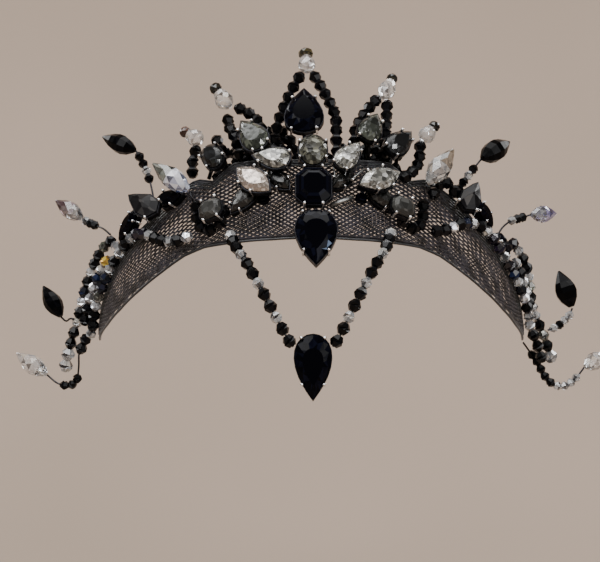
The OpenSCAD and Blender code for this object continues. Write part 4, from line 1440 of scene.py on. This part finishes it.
def strings() -> list[BeadString]:
    """Return every string of beads, with its pattern from its first end.

    Returns:
        The strings, node by node.
    """
    return [
        BeadString("loop_centre", [
            laid((-9.9,), (-9, 38), (-8.2, 44.5), (-6.6, 51), (-4.8, 57.5), (-2.4, 64.4)),
            laid((6.2,), (5.9, 38), (5.9, 45.5), (4.6, 51.5), (2.7, 57.5), (0.2, 64.4))]),
        BeadString("loop_left", [
            laid((-13.6,), (-12.8, 38.6), (-12.4, 43.2), (-13.6, 46.6), (-16, 50.4), (-19.2, 53.8)),
            laid((-18.2,), (-18.8, 39.6), (-20.5, 45.1), (-21.4, 50.8)),
            behind((-27, 2.2), (-23.5, 2.2), (-20, 2.2), (-16, 2.2), (-12, 2.2), (-7, 2.2), (-2.4, 2.2)),
            behind((-24.6, 12.4), (-22.6, 8.2), (-20, 6), (-16, 5.9), (-12, 5.9), (-8, 5.9), (-3.6, 5.9)),
            behind((-10, 9.6), (-4.4, 9.6)),
            behind((-12.6, 13.3), (-6.4, 13.3))]),
        BeadString("loop_right", [
            laid((10.4,), (10.6, 41), (12, 46), (14.2, 51.5), (16.7, 56.8)),
            laid((17.6,), (18.2, 41), (18.6, 47), (19.1, 56)),
            behind((2.4, 2.2), (7, 2.2), (12, 2.2), (16, 2.2), (20, 2.2), (23.5, 2.2), (27, 2.2)),
            behind((6.4, 5.9), (10.6, 5.9), (15, 6), (20, 6.6), (24.6, 9.4))]),
        BeadString("loop_left_outer", [
            laid((-23.2,), (-22.6, 36), (-23.4, 40.2), (-24.8, 43.6)),
            laid((-31.4,), (-30.8, 37), (-30, 40.2), (-29.6, 41.9))]),
        BeadString("loop_right_outer", [
            laid((22.4, 25.6), (24.9, 28.8), (27.2, 34.4), (28, 43)),
            laid((31, 21.6), (32, 26), (34.6, 29.8), (37.6, 30), (38.4, 26))]),
        BeadString("loop_left_low", [
            laid((-21.6, 14.5), (-21.8, 10), (-23.8, 6.9), (-26.4, 6.9), (-28.4, 10), (-29, 14),
                (-29.3, 19.5))]),
        BeadString("loop_right_low", [
            laid((21.4, 14.5), (21.6, 10), (23.4, 7.4), (25.8, 7.4), (27.4, 10.5), (27.9, 14.5),
                (28.1, 19.5))]),
        BeadString("band_row_left", [
            laid((-30.4, 6.6), (-35, 7), (-39, 9), (-43, 12.8), (-46.5, 16.4), (-50.5, 18.6), (-54.2, 18),
                (-58, 16.6),
                (-62, 14.6), (-66, 12.4), (-70, 10.2), (-74, 8), (-78, 5.8), (-82, 3.6), (-86, 1.4),
                (-81.8, 2, -0.6), (-84, 4, -5.2))], ["wBcBBcppcBcBcnngwBBcBB"]),
        BeadString("band_row_right", [
            laid((30.6, 8.4), (34, 10.6), (37, 13.2), (40.4, 16.6), (44, 19), (48.5, 20), (52.4, 18.8),
                (56, 16.4), (60, 14), (64, 12), (68, 10.4), (72, 8.6), (76, 6.8), (80, 4.8), (84, 2.6),
                (81.4, -1.2, -2.4), (83.2, -0.8, -8.4))], ["BBwBncBcppcpncnwBcwBBB"]),
        BeadString("rim_row_left", [
            laid((-60.6,), (-70.6, -12.2, 35), (-74, -9, 32.4), (-77.8, -4.4, 26.4), (-80.6, -1, 20),
                (-82.8, 1.6, 13.4), (-84.4, 3.4, 7), (-86.6, 5, 0.6), (-88.2, 6.4, -5.4), (-89.8, 7.4, -12)),
            laid((-71.4, -14, 29.4), (-74, -10.7, 25.6), (-76.6, -7.3, 20.8), (-78.9, -4.3, 15.2),
                (-80.5, -1.7, 9.8), (-81.7, 0.4, 5))], ["wBgBBcBnwBcBBCC", "ocnwwBB"]),
        BeadString("rim_row_right", [
            laid((60.6,), (71.2, -11.6, 34.2), (74.2, -8.6, 30.6), (77, -5, 25.4), (78.4, -2, 19.6),
                (79.2, 0.4, 14), (81.2, 2.6, 8.4), (83.8, 4.6, 2.4), (86, 6, -3), (87.6, 6.8, -8.6)),
            laid((71.2, -14, 28.8), (73.4, -11.4, 25), (75.6, -8, 20.2), (77.3, -4.8, 15),
                (78.5, -2.6, 11.2))],
            ["ppcBBcgBccBgBC", "cBcwB"]),
        BeadString("drop_strand_left", [
            [wall(-20.4, 4.2, STRING_O - 1), *laid((-24.2, -65, 31.2), (-20.6, -70, 26), (-16.4, -74.4, 18.6),
                (-12, -77, 10.4), (-8.2, -78.6, 3.4), (-6.1, -78.7, 0.3))]], ["cBBcBBcBBcBB"]),
        BeadString("drop_strand_right", [
            [wall(19.6, 4.8, STRING_O - 1), *laid((23.8, -65, 31.8), (20.4, -70, 26.4), (16.2, -74.4, 18.8),
                (12, -77, 10.6), (8.4, -78.6, 3.4), (6.3, -78.7, 0.3))]], ["cBBcBBcBBcBB"]),
    ]


def crown_drops() -> list[Drop]:
    """Return the drops that stand on the loops.

    Returns:
        The drops.
    """
    return [
        Drop("finial_top", wall(-1.1, 64.9, STRING_O), wall(-1.6, 76, STRING_O), 9.6, 6,
            DropStyle(tip_look=Look.GOLD_TIP, cap_share=0.85)),
        Drop("finial_left_1", Vector((-28.1, -32.6, 80.2)), Vector((-34.1, -30.6, 88.6)), 10.4, 6.4),
        Drop("finial_right_1", wall(18, 57.2, STRING_O), wall(21.4, 69.6, STRING_O + 1), 10.8, 6,
            DropStyle(tip_from=0.72)),
        Drop("finial_left_2", Vector((-37.4, -32.6, 68.6)), Vector((-44.8, -30, 72.8)), 9, 6,
            DropStyle(tip_look=Look.BROWN_TIP)),
        Drop("finial_right_2", Vector((37.6, -32, 69)), Vector((43.1, -29.4, 75.2)), 8.8, 6),
    ]


def settings() -> list[Settings]:
    """Return the three groups of settings.

    Returns:
        The groups: centre, left and right.
    """
    leaf_tie = (wall(67.2, 19, STONES_RIGHT[-1].o + 0.35), wall(66.2, over_edge(66.2, 1.4), -1))
    bars = [
        (wall(4.6, 11.6, 2), wall(9.8, 15, 2.4), 0.75),
        (wall(5, 25.4, 4.2), wall(5.6, 20.4, 3.6), 0.3),
        (wall(9, 20.6, 3.8), wall(12.4, 25.6, 4.2), 0.4),
    ]
    return [
        Settings("centre_settings", STONES_CENTRE),
        Settings("left_settings", STONES_LEFT),
        Settings("right_settings", STONES_RIGHT, [leaf_tie], bars),
    ]


@dataclass(frozen=True)
class SoftLight:
    """A square soft light, in metres and watts, that faces the tiara."""

    name: str
    place: tuple[float, float, float]
    size: float
    power: float
    faces: tuple[float, float, float] = (0.0, -0.03, 0.03)

    def hang(self) -> None:
        """Hang the light."""
        data = bpy.data.lights.new(self.name, "AREA")
        data.energy = self.power
        data.size = self.size
        lamp = bpy.data.objects.new(self.name, data)
        bpy.context.scene.collection.objects.link(lamp)
        lamp.location = self.place
        lamp.rotation_euler = (Vector(self.faces) - Vector(self.place)).to_track_quat("-Z", "Y").to_euler()


@dataclass
class Studio:
    """The plain backdrop, the soft lights and the camera, in metres."""

    floor_z: float = -0.16
    wall_y: float = 0.75
    wall_h: float = 2.2
    half_w: float = 2.2
    half_d: float = 1.4
    fold: float = 0.45
    room_colour: str = "#d9d3cc"
    room_strength: float = 0.42
    camera_at: tuple[float, float, float] = (-0.004, -0.630, 0.021)
    lens_mm: float = 105.0
    sensor_mm: float = 36.0
    lights: tuple[SoftLight, ...] = (
        SoftLight("key", (-0.55, -0.75, 0.95), 0.7, 13.0),
        SoftLight("fill", (0.75, -0.8, 0.45), 0.6, 5.0),
        SoftLight("top", (0.0, -0.05, 1.1), 0.9, 12.0),
        SoftLight("back_left", (-0.7, 0.45, 0.55), 0.35, 3.5),
        SoftLight("back_right", (0.7, 0.45, 0.55), 0.35, 3.5),
        SoftLight("glint", (0.18, -0.75, 0.35), 0.08, 2.2),
    )

    def build(self) -> None:
        """Build the stage, the lights and the camera."""
        self._backdrop()
        for light in self.lights:
            light.hang()
        world = bpy.data.worlds.new("soft_room")
        bpy.context.scene.world = world
        world.use_nodes = True
        room = world.node_tree.nodes["Background"]
        room.inputs["Color"].default_value = linear(self.room_colour)
        room.inputs["Strength"].default_value = self.room_strength
        camera = bpy.data.objects.new("camera", bpy.data.cameras.new("camera"))
        bpy.context.scene.collection.objects.link(camera)
        camera.location = self.camera_at
        camera.rotation_euler = (math.radians(90), 0.0, 0.0)
        camera.data.lens = self.lens_mm
        camera.data.sensor_width = self.sensor_mm
        camera.data.clip_start = 0.01
        bpy.context.scene.camera = camera

    def _backdrop(self) -> None:
        """Build the floor and the wall as one seamless sheet."""
        bm = bmesh.new()
        bmesh.ops.create_grid(bm, x_segments=1, y_segments=1, size=1.0)
        bmesh.ops.scale(bm, vec=(self.half_w, self.half_d, 1.0), verts=bm.verts)
        bmesh.ops.translate(bm, vec=(0.0, self.wall_y - self.half_d, self.floor_z), verts=bm.verts)
        far = [e for e in bm.edges if all(v.co.y > self.wall_y - 0.01 for v in e.verts)]
        grown = bmesh.ops.extrude_edge_only(bm, edges=far)["geom"]
        upper = [g for g in grown if isinstance(g, bmesh.types.BMVert)]
        bmesh.ops.translate(bm, vec=(0.0, 0.0, self.wall_h), verts=upper)
        corner = [e for e in bm.edges if len(e.link_faces) == 2]
        bmesh.ops.bevel(
            bm,
            geom=corner,
            offset=self.fold,
            offset_type="OFFSET",
            segments=20,
            profile=0.5,
            affect="EDGES",
            material=-1,
        )
        for face in bm.faces:
            face.smooth = True
        mesh = bpy.data.meshes.new("backdrop")
        bm.to_mesh(mesh)
        bm.free()
        mesh.materials.append(material_of(Look.WALL))
        sheet = bpy.data.objects.new("backdrop", mesh)
        bpy.context.scene.collection.objects.link(sheet)


class SubAssembly(Protocol):
    """Anything that builds its own pieces."""

    def build(self) -> None:
        """Build the pieces."""


def main() -> None:
    """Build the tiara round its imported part, sub-assembly by sub-assembly."""
    logging.basicConfig(level=logging.INFO, format="%(message)s")
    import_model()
    parts: list[SubAssembly] = [NetBand(), EdgeWire(), SquareBeads(), Pendant(), *settings(), *strings()]
    parts += [Stems("stems_left", stems_left()), Stems("stems_right", stems_right()), *crown_drops(), Studio()]
    for part in parts:
        part.build()


if __name__ == "__main__":
    main()
